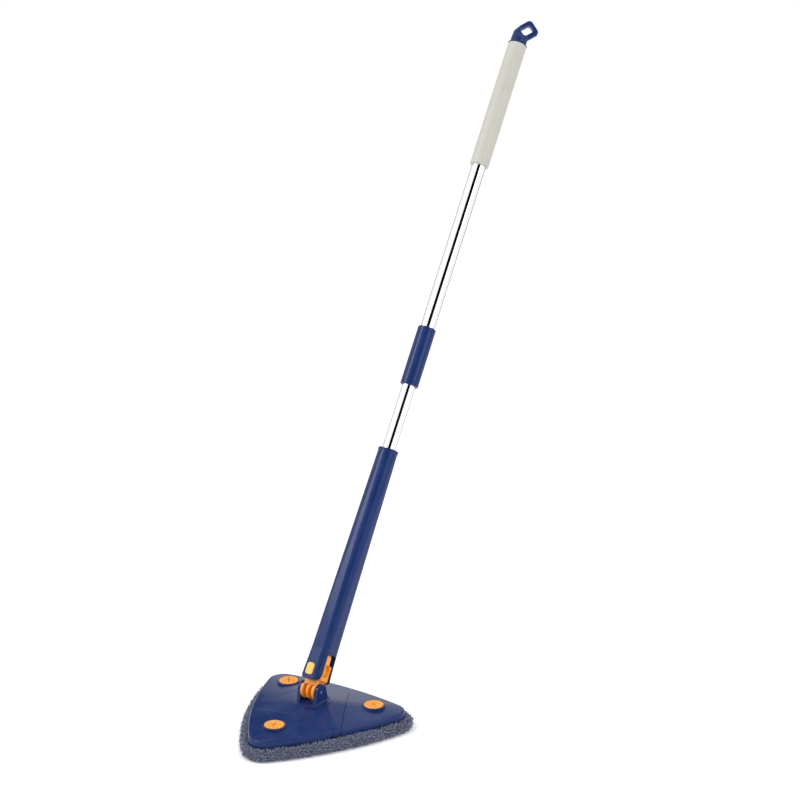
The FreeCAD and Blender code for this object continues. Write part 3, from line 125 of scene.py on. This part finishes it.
def makeMouldedSkin():
    group, start, end = startGroup(
        "mouldedSkin", ["Grain", "Mottle"], [("Height", "Float"), ("Cloud", "Float")])
    place = addNode(group, "ShaderNodeTexCoord")
    grain = addNode(group, "ShaderNodeTexNoise")
    grain.inputs["Detail"].default_value = effects["grainDetail"]
    cloud = addNode(group, "ShaderNodeTexNoise")
    cloud.inputs["Detail"].default_value = effects["cloudDetail"]
    for texture, label in ((grain, "Grain"), (cloud, "Mottle")):
        group.links.new(place.outputs["Object"], texture.inputs["Vector"])
        group.links.new(start.outputs[label], texture.inputs["Scale"])
    group.links.new(grain.outputs["Fac"], end.inputs["Height"])
    group.links.new(cloud.outputs["Fac"], end.inputs["Cloud"])
    return group


# edges lightened: partly scuffed wear, partly a painted highlight along the edges
def makeEdgeWearAndHighlight():
    group, start, end = startGroup(
        "edgeWearAndHighlight", ["Radius", "Scuffs"], [("Mask", "Float"), ("Soft Normal", "Vector")])
    bevel = addNode(group, "ShaderNodeBevel", samples=effects["bevelSamples"])
    group.links.new(start.outputs["Radius"], bevel.inputs["Radius"])
    surface = addNode(group, "ShaderNodeNewGeometry")
    meet = addNode(group, "ShaderNodeVectorMath", operation="DOT_PRODUCT")
    group.links.new(bevel.outputs["Normal"], meet.inputs[0])
    group.links.new(surface.outputs["Normal"], meet.inputs[1])
    turn = mathNode(group, "SUBTRACT", 1.0, meet.outputs["Value"])
    sharp = mathNode(group, "MULTIPLY", turn, effects["wearAndHighlightSteepness"])
    place = addNode(group, "ShaderNodeTexCoord")
    scuff = addNode(group, "ShaderNodeTexNoise")
    scuff.inputs["Detail"].default_value = effects["scuffDetail"]
    group.links.new(place.outputs["Object"], scuff.inputs["Vector"])
    group.links.new(start.outputs["Scuffs"], scuff.inputs["Scale"])
    broken = spread(group, scuff.outputs["Fac"], *effects["scuffCover"], *effects["scuffBand"])
    group.links.new(mathNode(group, "MULTIPLY", sharp, broken, True), end.inputs["Mask"])
    group.links.new(bevel.outputs["Normal"], end.inputs["Soft Normal"])
    return group


def makeDustFilm():
    group, start, end = startGroup("dustFilm", ["Amount", "Patches"], [("Mask", "Float")])
    surface = addNode(group, "ShaderNodeNewGeometry")
    parts = addNode(group, "ShaderNodeSeparateXYZ")
    group.links.new(surface.outputs["Normal"], parts.inputs["Vector"])
    upward = mathNode(group, "MAXIMUM", parts.outputs["Z"], 0.0)
    place = addNode(group, "ShaderNodeTexCoord")
    patch = addNode(group, "ShaderNodeTexNoise")
    patch.inputs["Detail"].default_value = effects["dustDetail"]
    group.links.new(place.outputs["Object"], patch.inputs["Vector"])
    group.links.new(start.outputs["Patches"], patch.inputs["Scale"])
    patchy = spread(group, patch.outputs["Fac"], 0.0, 1.0, *effects["dustBand"])
    cover = mathNode(group, "MULTIPLY", upward, patchy)
    film = mathNode(group, "MULTIPLY", cover, start.outputs["Amount"], True)
    group.links.new(film, end.inputs["Mask"])
    return group


def makeDrawnLines():
    # fine lines along the pole
    group, start, end = startGroup("drawnLines", ["Fineness"], [("Lines", "Float")])
    place = addNode(group, "ShaderNodeTexCoord")
    along = addNode(group, "ShaderNodeMapping", vector_type="TEXTURE")
    along.inputs["Rotation"].default_value = (math.radians(-poleLean), 0, 0)
    along.inputs["Scale"].default_value = (1, 1, effects["lineStretch"])
    line = addNode(group, "ShaderNodeTexNoise")
    line.inputs["Detail"].default_value = effects["lineDetail"]
    group.links.new(place.outputs["Object"], along.inputs["Vector"])
    group.links.new(along.outputs["Vector"], line.inputs["Vector"])
    group.links.new(start.outputs["Fineness"], line.inputs["Scale"])
    group.links.new(line.outputs["Fac"], end.inputs["Lines"])
    return group


# painted shade: occlusion darkens the colour in seams and recesses, where shade falls
def makePaintedCreviceShade():
    group, start, end = startGroup("paintedCreviceShade", ["Reach"], [("Mask", "Float")])
    openness = addNode(group, "ShaderNodeAmbientOcclusion", samples=effects["paintedShadeSamples"])
    group.links.new(start.outputs["Reach"], openness.inputs["Distance"])
    paintedShadeMask = spread(group, openness.outputs["AO"], 1.0, 0.0, *effects["paintedShadeBand"])
    group.links.new(paintedShadeMask, end.inputs["Mask"])
    return group


mouldedSkin = makeMouldedSkin()
paintedCreviceShade = makePaintedCreviceShade()
edgeWearAndHighlight = makeEdgeWearAndHighlight()
dustFilm = makeDustFilm()
drawnLines = makeDrawnLines()


# materials, by the names of the record's slots

plastics = {
    "navy_plastic": {"tone": (0.0075, 0.0275, 0.1230), "deep": (0.0055, 0.0215, 0.1030),
                     "wornAndHighlit": (0.050, 0.095, 0.24), "rough": (0.16, 0.24), "shine": 0.17,
                     "grain": 2400, "depth": 0.00003, "dust": 0.04, "coat": 0.06},
    "orange_plastic": {"tone": (0.94, 0.36, 0.024), "deep": (0.84, 0.25, 0.012),
                       "wornAndHighlit": (1.0, 0.56, 0.14), "rough": (0.30, 0.42), "shine": 0.4,
                       "grain": 2000, "depth": 0.00004, "dust": 0.08, "coat": 0.1},
    "button_plastic": {"tone": (0.96, 0.52, 0.10), "deep": (0.90, 0.43, 0.07),
                       "wornAndHighlit": (1.0, 0.72, 0.30), "rough": (0.28, 0.40), "shine": 0.45,
                       "grain": 2000, "depth": 0.00003, "dust": 0.06, "coat": 0.15},
    "gripper_rubber": {"tone": (0.95, 0.37, 0.018), "deep": (0.82, 0.26, 0.010),
                       "wornAndHighlit": (1.0, 0.52, 0.12), "rough": (0.42, 0.58), "shine": 0.35,
                       "grain": 1500, "depth": 0.00006, "dust": 0.12, "coat": 0.0},
    "black_plastic": {"tone": (0.012, 0.013, 0.017), "deep": (0.007, 0.008, 0.011),
                      "wornAndHighlit": (0.05, 0.052, 0.06), "rough": (0.45, 0.60), "shine": 0.35,
                      "grain": 1400, "depth": 0.00008, "dust": 0.10, "coat": 0.0},
    "grip_plastic": {"tone": (0.475, 0.465, 0.415), "deep": (0.445, 0.435, 0.385),
                     "wornAndHighlit": (0.60, 0.59, 0.55), "rough": (0.36, 0.48), "shine": 0.3,
                     "grain": 1300, "depth": 0.00006, "dust": 0.03, "coat": 0.05},
    "white_plastic": {"tone": (0.72, 0.71, 0.68), "deep": (0.63, 0.62, 0.585),
                      "wornAndHighlit": (0.80, 0.80, 0.78), "rough": (0.40, 0.55), "shine": 0.4,
                      "grain": 1600, "depth": 0.00005, "dust": 0.05, "coat": 0.0},
}
metals = {
    "chrome_tube": {"tone": (0.93, 0.935, 0.945), "deep": (0.86, 0.865, 0.88),
                    "rough": (0.035, 0.075), "lines": 900},
    "steel": {"tone": (0.60, 0.60, 0.62), "deep": (0.46, 0.46, 0.48),
              "rough": (0.22, 0.38), "lines": 2500},
}
plasticFinish = {
    "mottle": 38.0,
    "wearAndHighlightRadius": 0.0009,
    "scuffs": 260.0,
    "wearAndHighlightShare": 0.55,
    "dustPatches": 26.0,
    "dustTone": (0.45, 0.44, 0.42),
    "dustShare": 0.5,
    "dustRough": 0.6,
    "paintedShadeReach": 0.0035,
    "paintedShadeShare": 0.85,
    "paintedShadeLevel": 0.12,        # of the deep tone, painted into seams and recesses as shade
    "bump": 0.5,
    "coatRough": 0.12,
}
metalFinish = {"dust": 0.05, "dustPatches": 40.0, "bump": 0.15, "depth": 0.00001}


def blankMaterial(name):
    material = bpy.data.materials.new(name)
    material.use_nodes = True
    return material, material.node_tree, material.node_tree.nodes["Principled BSDF"]


def addBump(tree, height, shader, strength, depth):
    bump = addNode(tree, "ShaderNodeBump")
    bump.inputs["Strength"].default_value = strength
    bump.inputs["Distance"].default_value = depth
    tree.links.new(height, bump.inputs["Height"])
    tree.links.new(bump.outputs["Normal"], shader.inputs["Normal"])
    return bump


def makePlastic(name, look):
    finish = plasticFinish
    material, tree, shader = blankMaterial(name)
    skin = useGroup(tree, mouldedSkin, Grain=float(look["grain"]), Mottle=finish["mottle"])
    wearAndHighlight = useGroup(tree, edgeWearAndHighlight, Radius=finish["wearAndHighlightRadius"], Scuffs=finish["scuffs"])
    dust = useGroup(tree, dustFilm, Amount=look["dust"], Patches=finish["dustPatches"])
    cloud = spread(tree, skin.outputs["Cloud"], 0.0, 1.0)
    body = mixTones(tree, cloud, look["deep"], look["tone"])
    # edges painted lighter, as wear and as a painted highlight
    wornAndHighlit = mathNode(tree, "MULTIPLY", wearAndHighlight.outputs["Mask"], finish["wearAndHighlightShare"])
    edgeWornAndHighlit = mixTones(tree, wornAndHighlit, body, look["wornAndHighlit"])
    dulled = mathNode(tree, "MULTIPLY", dust.outputs["Mask"], finish["dustShare"])
    dusty = mixTones(tree, dulled, edgeWornAndHighlit, finish["dustTone"])
    # painted shade, darkening the base colour in seams and recesses
    paintedShadeNode = useGroup(tree, paintedCreviceShade, Reach=finish["paintedShadeReach"])
    paintedShadeMask = mathNode(tree, "MULTIPLY", paintedShadeNode.outputs["Mask"], finish["paintedShadeShare"])
    paintedShadeTone = tuple(finish["paintedShadeLevel"] * v for v in look["deep"])
    tree.links.new(mixTones(tree, paintedShadeMask, dusty, paintedShadeTone), shader.inputs["Base Color"])
    rough = spread(tree, skin.outputs["Cloud"], *look["rough"])
    powder = mathNode(tree, "MULTIPLY", dust.outputs["Mask"], finish["dustRough"])
    tree.links.new(mathNode(tree, "ADD", rough, powder), shader.inputs["Roughness"])
    bump = addBump(tree, skin.outputs["Height"], shader, finish["bump"], look["depth"])
    tree.links.new(wearAndHighlight.outputs["Soft Normal"], bump.inputs["Normal"])
    shader.inputs["Specular IOR Level"].default_value = look["shine"]
    shader.inputs["Coat Weight"].default_value = look["coat"]
    shader.inputs["Coat Roughness"].default_value = finish["coatRough"]
    return material


def makeMetal(name, look):
    finish = metalFinish
    material, tree, shader = blankMaterial(name)
    drawn = useGroup(tree, drawnLines, Fineness=float(look["lines"]))
    dust = useGroup(tree, dustFilm, Amount=finish["dust"], Patches=finish["dustPatches"])
    lines = spread(tree, drawn.outputs["Lines"], 0.0, 1.0)
    tree.links.new(mixTones(tree, lines, look["deep"], look["tone"]), shader.inputs["Base Color"])
    rough = spread(tree, drawn.outputs["Lines"], *look["rough"])
    tree.links.new(mathNode(tree, "ADD", rough, dust.outputs["Mask"]), shader.inputs["Roughness"])
    addBump(tree, drawn.outputs["Lines"], shader, finish["bump"], finish["depth"])
    shader.inputs["Metallic"].default_value = 1.0
    return material


chenille = {
    "shadedRoot": (0.016, 0.018, 0.034),
    "shade": (0.070, 0.082, 0.150),
    "tip": (0.205, 0.225, 0.350),
    "fleck": (0.34, 0.36, 0.47),
    "fleckShare": 0.35,
    "tuftShare": 0.6,          # how much of a tuft's tone is its own
    "patchShare": 0.4,         # and how much it shares with its patch
    "patchScale": 55,
    "fibreScale": 2600,
    "fibreDetail": 3,
    "shadedRootReach": 0.75,         # of a tuft's height, over which the painted shade at its base fades
    "rough": (0.8, 0.98),
    "bump": 0.8,
    "depth": 0.0003,
    "shine": 0.15,
    "sheen": 0.35,
    "sheenRough": 0.45,
}


def makeChenille():
    material, tree, shader = blankMaterial("chenille")
    reach = addNode(tree, "ShaderNodeAttribute", attribute_name="tuftReach")
    tone = addNode(tree, "ShaderNodeAttribute", attribute_name="tuftTone")
    place = addNode(tree, "ShaderNodeTexCoord")
    fibre = addNode(tree, "ShaderNodeTexNoise")
    fibre.inputs["Scale"].default_value = chenille["fibreScale"]
    fibre.inputs["Detail"].default_value = chenille["fibreDetail"]
    patch = addNode(tree, "ShaderNodeTexNoise")
    patch.inputs["Scale"].default_value = chenille["patchScale"]
    for texture in (fibre, patch):
        tree.links.new(place.outputs["Object"], texture.inputs["Vector"])
    ownTone = mathNode(tree, "MULTIPLY", tone.outputs["Fac"], chenille["tuftShare"])
    patchTone = mathNode(tree, "MULTIPLY", patch.outputs["Fac"], chenille["patchShare"])
    both = mathNode(tree, "ADD", ownTone, patchTone)
    yarn = mixTones(tree, both, chenille["shade"], chenille["tip"])
    # painted shade: tufts and the backing darkened towards their base, where the pile shades them
    deep = spread(tree, reach.outputs["Fac"], 0.0, 1.0, 0.0, chenille["shadedRootReach"])
    pile = mixTones(tree, deep, chenille["shadedRoot"], yarn)
    flecks = spread(tree, fibre.outputs["Fac"], 0.0, chenille["fleckShare"])
    flecked = mixTones(tree, flecks, pile, chenille["fleck"])
    tree.links.new(flecked, shader.inputs["Base Color"])
    rough = spread(tree, fibre.outputs["Fac"], *chenille["rough"])
    tree.links.new(rough, shader.inputs["Roughness"])
    addBump(tree, fibre.outputs["Fac"], shader, chenille["bump"], chenille["depth"])
    shader.inputs["Specular IOR Level"].default_value = chenille["shine"]
    shader.inputs["Sheen Weight"].default_value = chenille["sheen"]
    shader.inputs["Sheen Roughness"].default_value = chenille["sheenRough"]
    return material


materials = {name: makePlastic(name, look) for name, look in plastics.items()}
materials.update({name: makeMetal(name, look) for name, look in metals.items()})
materials["chenille"] = makeChenille()
for piece in frame["record"]["subparts"]:
    surface = nodes[piece["node"]].data
    for number in range(len(surface.materials)):
        surface.materials[number] = materials[piece["material_slot"]]
    if not surface.materials:
        surface.materials.append(materials[piece["material_slot"]])


# the chenille pad

pad = {
    "side": 0.299,          # corner to corner, over the pile
    "round": 0.0386,
    "bow": 0.013,
    "foot": 0.0026,         # the backing's underside, above the floor
    "top": 0.0156,          # under the head's base
    "pile": 0.0034,         # how far the pile stands out past the backing
    "edge": 0.0065,
    "rings": (0.25, 0.5, 0.72, 0.88),      # shares of the reach, across the flat top and sole
    "edgeSteps": 8,
    "around": 144,
    "voxel": 0.0045,
    "clothQuality": 4,
    "clothMass": 0.2,
    "pressure": 4.0,
    "frames": 20,
    "cap": 0.0022,          # the most the cloth may swell
    "soleDrop": 0.0006,     # how far the sole may swell down
    "baseMargin": 0.001,    # past the base's outline, where the pad still stays under the base
    "baseSide": 0.272,
    "baseRound": 0.027,
    "baseBow": 0.0103,
    "foldReach": 0.055566,
    "foldHalf": 0.0075,     # half the width of the pad that bends at a fold
}
cornerBearings = {"nose": -90.0, "right": 30.0, "left": 150.0}
halfCorner = 60      # degrees, either way of a corner's bearing


def outlineReach(bearing, side, rounding, bow):
    # how far a bowed, rounded triangle reaches from its middle, towards one bearing
    fromNose = bearing - cornerBearings["nose"]
    turn = abs((fromNose + halfCorner) % (2 * halfCorner) - halfCorner)
    core = side - 2 * rounding
    grown = (core * core / 4 + bow * bow) / (2 * bow)
    swing = math.degrees(math.asin(core / 2 / grown))
    centre = core / math.sqrt(3)
    angle = math.radians(turn)
    inside = rounding ** 2 - (centre * math.sin(angle)) ** 2
    if inside > 0:
        reach = centre * math.cos(angle) + math.sqrt(inside)
        about = math.degrees(math.atan2(reach * math.sin(angle), reach * math.cos(angle) - centre))
        if about <= halfCorner - swing:
            return reach
    back = core / math.sqrt(12) - grown + bow
    across = back * math.cos(math.radians(halfCorner) - angle)
    return across + math.sqrt(across ** 2 - back ** 2 + (grown + rounding) ** 2)


def baseReach(bearing):
    return outlineReach(bearing, pad["baseSide"], pad["baseRound"], pad["baseBow"])


def padBacking():
    # a closed cushion: rings from the top's middle, round the edge, to the sole's middle
    side = pad["side"] - pad["pile"] * math.sqrt(3)
    middle = (pad["foot"] + pad["top"]) / 2
    half = (pad["top"] - pad["foot"]) / 2
    profile = [(share, 0.0, pad["top"]) for share in pad["rings"]]
    for step in range(pad["edgeSteps"] + 1):
        angle = math.radians(180 * step / pad["edgeSteps"])
        profile.append((1.0, math.sin(angle) - 1, middle + half * math.cos(angle)))
    profile += [(share, 0.0, pad["foot"]) for share in reversed(pad["rings"])]
    count = pad["around"]
    spots = [(0, 0, pad["top"])]
    for share, out, height in profile:
        for number in range(count):
            bearing = 360 * number / count
            reach = outlineReach(bearing, side, pad["round"] - pad["pile"], pad["bow"])
            if share < 1:
                reach = share * (reach - pad["edge"])
            else:
                reach += out * pad["edge"]
            way = math.radians(bearing)
            spots.append((reach * math.cos(way), reach * math.sin(way), height))
    spots.append((0, 0, pad["foot"]))
    faces = []
    for number in range(count):
        following = (number + 1) % count
        faces.append((0, 1 + number, 1 + following))
        for ring in range(len(profile) - 1):
            low = 1 + ring * count
            high = low + count
            faces.append((low + number, high + number, high + following, low + following))
        last = 1 + (len(profile) - 1) * count
        faces.append((last + following, last + number, len(spots) - 1))
    mesh = bpy.data.meshes.new("padBacking")
    mesh.from_pydata(spots, [], faces)
    mesh.update()
    backing = bpy.data.objects.new("padBacking", mesh)
    bpy.context.scene.collection.objects.link(backing)
    bpy.context.view_layer.objects.active = backing
    backing.select_set(True)
    return backing


def pointsOf(mesh):
    spots = np.empty(len(mesh.vertices) * 3)
    mesh.vertices.foreach_get("co", spots)
    return spots.reshape(-1, 3)


def swellPad(backing):
    # the backing swells a little against its sewn edge, as a stuffed pad does
    backing.data.remesh_voxel_size = pad["voxel"]
    bpy.ops.object.voxel_remesh()
    start = pointsOf(backing.data)
    cloth = backing.modifiers.new("padCloth", "CLOTH")
    cloth.settings.quality = pad["clothQuality"]
    cloth.settings.mass = pad["clothMass"]
    cloth.settings.use_pressure = True
    cloth.settings.uniform_pressure_force = pad["pressure"]
    cloth.settings.effector_weights.gravity = 0
    for number in range(1, pad["frames"] + 1):
        bpy.context.scene.frame_set(number)
    bpy.ops.object.modifier_apply(modifier=cloth.name)
    bpy.context.scene.frame_set(1)
    swollen = pointsOf(backing.data)
    move = swollen - start
    size = np.linalg.norm(move, axis=1, keepdims=True)
    move *= np.minimum(1, pad["cap"] / np.maximum(size, tiny))
    settled = start + move
    settled[:, 2] = np.clip(settled[:, 2], pad["foot"] - pad["soleDrop"], None)
    for row in settled:
        bearing = math.degrees(math.atan2(row[1], row[0]))
        if math.hypot(row[0], row[1]) < baseReach(bearing) + pad["baseMargin"]:
            row[2] = min(row[2], pad["top"])
    backing.data.vertices.foreach_set("co", settled.ravel())
    backing.data.update()
    smooth = backing.modifiers.new("padSubdivision", "SUBSURF")
    smooth.levels = 1
    smooth.render_levels = 1
    bpy.ops.object.modifier_apply(modifier=smooth.name)
    most = float(np.max(np.linalg.norm(settled - start, axis=1)))
    print("pad backing swollen by up to", round(most * 1000, 2), "mm")


tuft = {
    "seed": 7,
    "spacing": 0.00185,         # between tufts that show
    "soleSpacing": 0.0027,
    "soleSlope": -0.85,         # normals that point further down than this are the sole's
    "coveredSlope": 0.2,        # and up past this, the top's
    "coveredMargin": 0.0005,
    "tries": 2.2,               # spots tried for each one wanted
    "closest": 0.74,            # of the spacing
    "length": 0.0052,
    "lengthSpread": (0.6, 1.25),
    "radius": 0.00095,
    "radiusSpread": (0.8, 1.25),
    "lean": 0.36,
    "droop": 0.12,
    "flatSlope": -0.6,          # tufts that point further down than this lie flat
    "flatLean": 0.5,
    "bend": (-0.45, 0.45),
    "lowest": 0.00015,          # above the floor
    "rings": [(-0.22, 0.80), (0.30, 1.0), (0.72, 0.86)],     # height and width along a tuft
    "sides": 5,
}


def tuftSpots(mesh):
    # places on the pad for tufts, spread evenly, none where the head's base covers it
    dice = random.Random(tuft["seed"])
    mesh.calc_loop_triangles()
    spots = pointsOf(mesh)
    corners = np.array([t.vertices[:] for t in mesh.loop_triangles])
    first, second, third = (spots[corners[:, k]] for k in range(3))
    cross = np.cross(second - first, third - first)
    area = np.linalg.norm(cross, axis=1) / 2
    normal = cross / np.maximum(2 * area[:, None], tiny)
    kept = []
    cells = {}
    wanted = int(area.sum() / tuft["spacing"] ** 2 * tuft["tries"])
    draw = np.random.default_rng(tuft["seed"])
    order = draw.choice(len(area), size=wanted, p=area / area.sum())
    for index in order:
        a, b = dice.random(), dice.random()
        if a + b > 1:
            a, b = 1 - a, 1 - b
        origin = first[index]
        spot = origin + (second[index] - origin) * a + (third[index] - origin) * b
        out = normal[index]
        bearing = math.degrees(math.atan2(spot[1], spot[0]))
        covered = baseReach(bearing) - tuft["coveredMargin"]
        if out[2] > tuft["coveredSlope"] and math.hypot(spot[0], spot[1]) < covered:
            continue
        gap = tuft["soleSpacing"] if out[2] < tuft["soleSlope"] else tuft["spacing"]
        cell = tuple(int(math.floor(v / tuft["soleSpacing"])) for v in spot)
        near = []
        for x in (-1, 0, 1):
            for y in (-1, 0, 1):
                for z in (-1, 0, 1):
                    near += cells.get((cell[0] + x, cell[1] + y, cell[2] + z), [])
        limit = (tuft["closest"] * gap) ** 2
        if any((spot[0] - n[0]) ** 2 + (spot[1] - n[1]) ** 2 + (spot[2] - n[2]) ** 2 < limit
               for n in near):
            continue
        cells.setdefault(cell, []).append(spot)
        kept.append((spot, out))
    return kept


def growTufts(places):
    # short bent loops of yarn, each a few faces, leaning at random and lying flat under the sole
    rings, sides = tuft["rings"], tuft["sides"]
    dice = np.random.default_rng(tuft["seed"] + 1)
    count = len(places)
    roots = np.array([p[0] for p in places])
    ways = np.array([p[1] for p in places])
    sole = ways[:, 2] < tuft["flatSlope"]
    lean = dice.normal(0, tuft["lean"], (count, 3))
    lean[:, 2] -= tuft["droop"]
    ways = ways + lean
    ways[sole] += dice.normal(0, tuft["flatLean"], (int(sole.sum()), 3)) * (1, 1, 0)
    ways /= np.linalg.norm(ways, axis=1, keepdims=True)
    side = np.cross(ways, dice.normal(0, 1, (count, 3)))
    side /= np.linalg.norm(side, axis=1, keepdims=True)
    other = np.cross(ways, side)
    length = tuft["length"] * dice.uniform(*tuft["lengthSpread"], (count, 1))
    width = tuft["radius"] * dice.uniform(*tuft["radiusSpread"], (count, 1))
    bend = side * dice.uniform(*tuft["bend"], (count, 1))
    bend = bend + other * dice.uniform(*tuft["bend"], (count, 1))
    rows = []
    reach = []
    for height, fat in rings:
        middle = roots + (ways * height + bend * max(height, 0) ** 2) * length
        for number in range(sides):
            angle = 2 * math.pi * number / sides
            around = side * math.cos(angle) + other * math.sin(angle)
            rows.append(middle + around * width * fat)
            reach.append(max(height, 0))
    rows.append(roots + (ways + bend) * length)
    reach.append(1.0)
    spots = np.stack(rows, axis=1)
    spots[:, :, 2] = np.maximum(spots[:, :, 2], tuft["lowest"])
    tones = np.repeat(dice.uniform(0, 1, (count, 1)), len(rows), axis=1)
    reaches = np.tile(np.array(reach), (count, 1))
    pattern = []
    for ring in range(len(rings) - 1):
        for number in range(sides):
            following = (number + 1) % sides
            low = ring * sides
            high = low + sides
            pattern.append((low + number, low + following, high + following))
            pattern.append((low + number, high + following, high + number))
    last = (len(rings) - 1) * sides
    for number in range(sides):
        pattern.append((last + number, last + (number + 1) % sides, len(rows) - 1))
    for number in range(1, sides - 1):
        pattern.append((0, number + 1, number))
    return roots, spots, tones, reaches, np.array(pattern)


def sectorBacking(backing, name, bearing):
    # a third of the pad: the middle's share and one corner, closed where it is cut
    sector = backing.copy()
    sector.data = backing.data.copy()
    sector.name = name
    bpy.context.scene.collection.objects.link(sector)
    bpy.ops.object.select_all(action="DESELECT")
    bpy.context.view_layer.objects.active = sector
    sector.select_set(True)
    bpy.ops.object.mode_set(mode="EDIT")
    for sign in (1, -1):
        way = math.radians(bearing + sign * halfCorner)
        across = (-math.sin(way) * sign, math.cos(way) * sign, 0)
        bpy.ops.mesh.select_all(action="SELECT")
        bpy.ops.mesh.bisect(plane_co=(0, 0, 0), plane_no=across, use_fill=True, clear_outer=True)
    bpy.ops.mesh.select_all(action="SELECT")
    bpy.ops.mesh.quads_convert_to_tris()
    bpy.ops.object.mode_set(mode="OBJECT")
    return sector


def makePad():
    backing = padBacking()
    swellPad(backing)
    places = tuftSpots(backing.data)
    roots, spots, tones, reaches, pattern = growTufts(places)
    bearings = np.degrees(np.arctan2(roots[:, 1], roots[:, 0]))
    for corner, bearing in cornerBearings.items():
        sector = sectorBacking(backing, "pad" + corner.capitalize(), bearing)
        own = np.abs((bearings - bearing + 180) % 360 - 180) <= halfCorner
        base = pointsOf(sector.data)
        faces = [list(f.vertices) for f in sector.data.polygons]
        tufts = spots[own]
        perTuft = tufts.shape[1]
        offsets = len(base) + np.arange(len(tufts)) * perTuft
        tuftFaces = (pattern[None, :, :] + offsets[:, None, None]).reshape(-1, 3)
        mesh = bpy.data.meshes.new(sector.name)
        every = np.vstack([base, tufts.reshape(-1, 3)])
        mesh.from_pydata(every.tolist(), [], faces + tuftFaces.tolist())
        mesh.update()
        mesh.polygons.foreach_set("use_smooth", [True] * len(mesh.polygons))
        for label, values in (("tuftTone", tones[own]), ("tuftReach", reaches[own])):
            layer = mesh.attributes.new(label, "FLOAT", "POINT")
            row = np.concatenate([np.zeros(len(base)), values.ravel()])
            layer.data.foreach_set("value", row)
        mesh.materials.append(materials["chenille"])
        sector.data = mesh
        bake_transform(sector)
        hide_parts("pad_" + corner, *(["pad_centre"] if corner == "nose" else []))
        print(sector.name, len(mesh.polygons), "faces,", len(tufts), "tufts")
    bpy.data.objects.remove(backing)


makePad()


# camera and studio

studio = {
    "cameraAt": (1.64936, -2.17714, 1.27387),
    "turn": 34.13,            # degrees, how far the view is swung from +Y towards -X
    "tilt": 14.82,            # degrees below the horizon
    "lens": 81.08,
    "farthest": 40,
    "floorSize": 14,
    "floorTone": (0.97, 0.97, 0.97),
    "floorRough": 0.8,
    "worldSeen": 1.0,
    "worldLight": 1.04,
    "tubeAt": (0.0, 0.40, 0.70),
    "cardLength": 2.6,
}
lights = {
    "keyLight": {"at": (-1.7, -1.7, 2.7), "aim": (0, 0.15, 0.3), "size": (1.3, 1.6), "power": 42},
    "fillLight": {"at": (2.6, 0.4, 1.9), "aim": (0, 0.2, 0.4), "size": (1.0, 2.0), "power": 16},
}
cards = {
    "centreCard": {"angle": 0, "halfAngle": 20, "distance": 1.5, "tone": 0.0},
    "leftCard": {"angle": -143, "halfAngle": 9.0, "distance": 0.8, "tone": 0.0},
    "rightCard": {"angle": 142, "halfAngle": 11.0, "distance": 0.8, "tone": 0.10},
}


def viewDirection():
    turn = math.radians(studio["turn"])
    tilt = math.radians(studio["tilt"])
    level = math.cos(tilt)
    return Vector((-math.sin(turn) * level, math.cos(turn) * level, -math.sin(tilt)))


def addCamera():
    bpy.ops.object.camera_add(location=studio["cameraAt"])
    camera = bpy.context.object
    camera.name = "camera"
    camera.data.lens = studio["lens"]
    camera.data.clip_end = studio["farthest"]
    camera.rotation_euler = viewDirection().to_track_quat("-Z", "Y").to_euler()
    bpy.context.scene.camera = camera


def stageMaterial(name, tone, rough):
    material, tree, shader = blankMaterial(name)
    shader.inputs["Base Color"].default_value = (*tone, 1)
    shader.inputs["Roughness"].default_value = rough
    shader.inputs["Specular IOR Level"].default_value = 0.0
    return material


def addFloor():
    bpy.ops.mesh.primitive_plane_add(size=studio["floorSize"], location=(0, 0, 0))
    floor = bpy.context.object
    floor.name = "floor"
    paint = stageMaterial("paleFloor", studio["floorTone"], studio["floorRough"])
    floor.data.materials.append(paint)


def addLight(name, at, aim, size, power):
    bpy.ops.object.light_add(type="AREA", location=at)
    light = bpy.context.object
    light.name = name
    light.data.shape = "RECTANGLE"
    light.data.size, light.data.size_y = size
    light.data.energy = power
    light.rotation_euler = (Vector(aim) - Vector(at)).to_track_quat("-Z", "Y").to_euler()


def addCard(name, angle, halfAngle, distance, tone):
    # a dark card that only shows in reflections, on the side of the pole that the angle names
    lean = math.radians(poleLean)
    along = Vector((0, math.sin(lean), math.cos(lean)))
    view = viewDirection()
    slant = view.dot(along)
    facing = (-view + slant * along).normalized()
    aside = along.cross(facing)
    turn = math.radians(angle)
    outward = math.cos(turn) * facing + math.sin(turn) * aside
    away = slant * along + math.sqrt(1 - slant ** 2) * outward
    bpy.ops.mesh.primitive_plane_add(size=1, location=(0, 0, 0))
    card = bpy.context.object
    card.name = name
    across = away.cross(along).normalized()
    half = distance * math.tan(math.radians(halfAngle))
    middle = Vector(studio["tubeAt"]) + away * distance
    for vertex in card.data.vertices:
        x, y = vertex.co.x * 2, vertex.co.y
        vertex.co = middle + across * (x * half) + along * (y * studio["cardLength"])
    card.data.materials.append(stageMaterial(name + "Tone", (tone, tone, tone), 1.0))
    card.visible_camera = False
    card.visible_diffuse = False
    card.visible_shadow = False
    card.visible_transmission = False


def addWorld():
    world = bpy.data.worlds.new("softStudio")
    bpy.context.scene.world = world
    world.use_nodes = True
    tree = world.node_tree
    backdrop = tree.nodes["Background"]
    backdrop.inputs["Color"].default_value = (1, 1, 1, 1)
    path = addNode(tree, "ShaderNodeLightPath")
    change = studio["worldSeen"] - studio["worldLight"]
    seen = mathNode(tree, "MULTIPLY", path.outputs["Is Camera Ray"], change)
    strength = mathNode(tree, "ADD", seen, studio["worldLight"])
    tree.links.new(strength, backdrop.inputs["Strength"])


addCamera()
addFloor()
addWorld()
for name, light in lights.items():
    addLight(name, **light)
for name, card in cards.items():
    addCard(name, **card)
bpy.context.scene.view_settings.view_transform = "Standard"
print("studio ready")
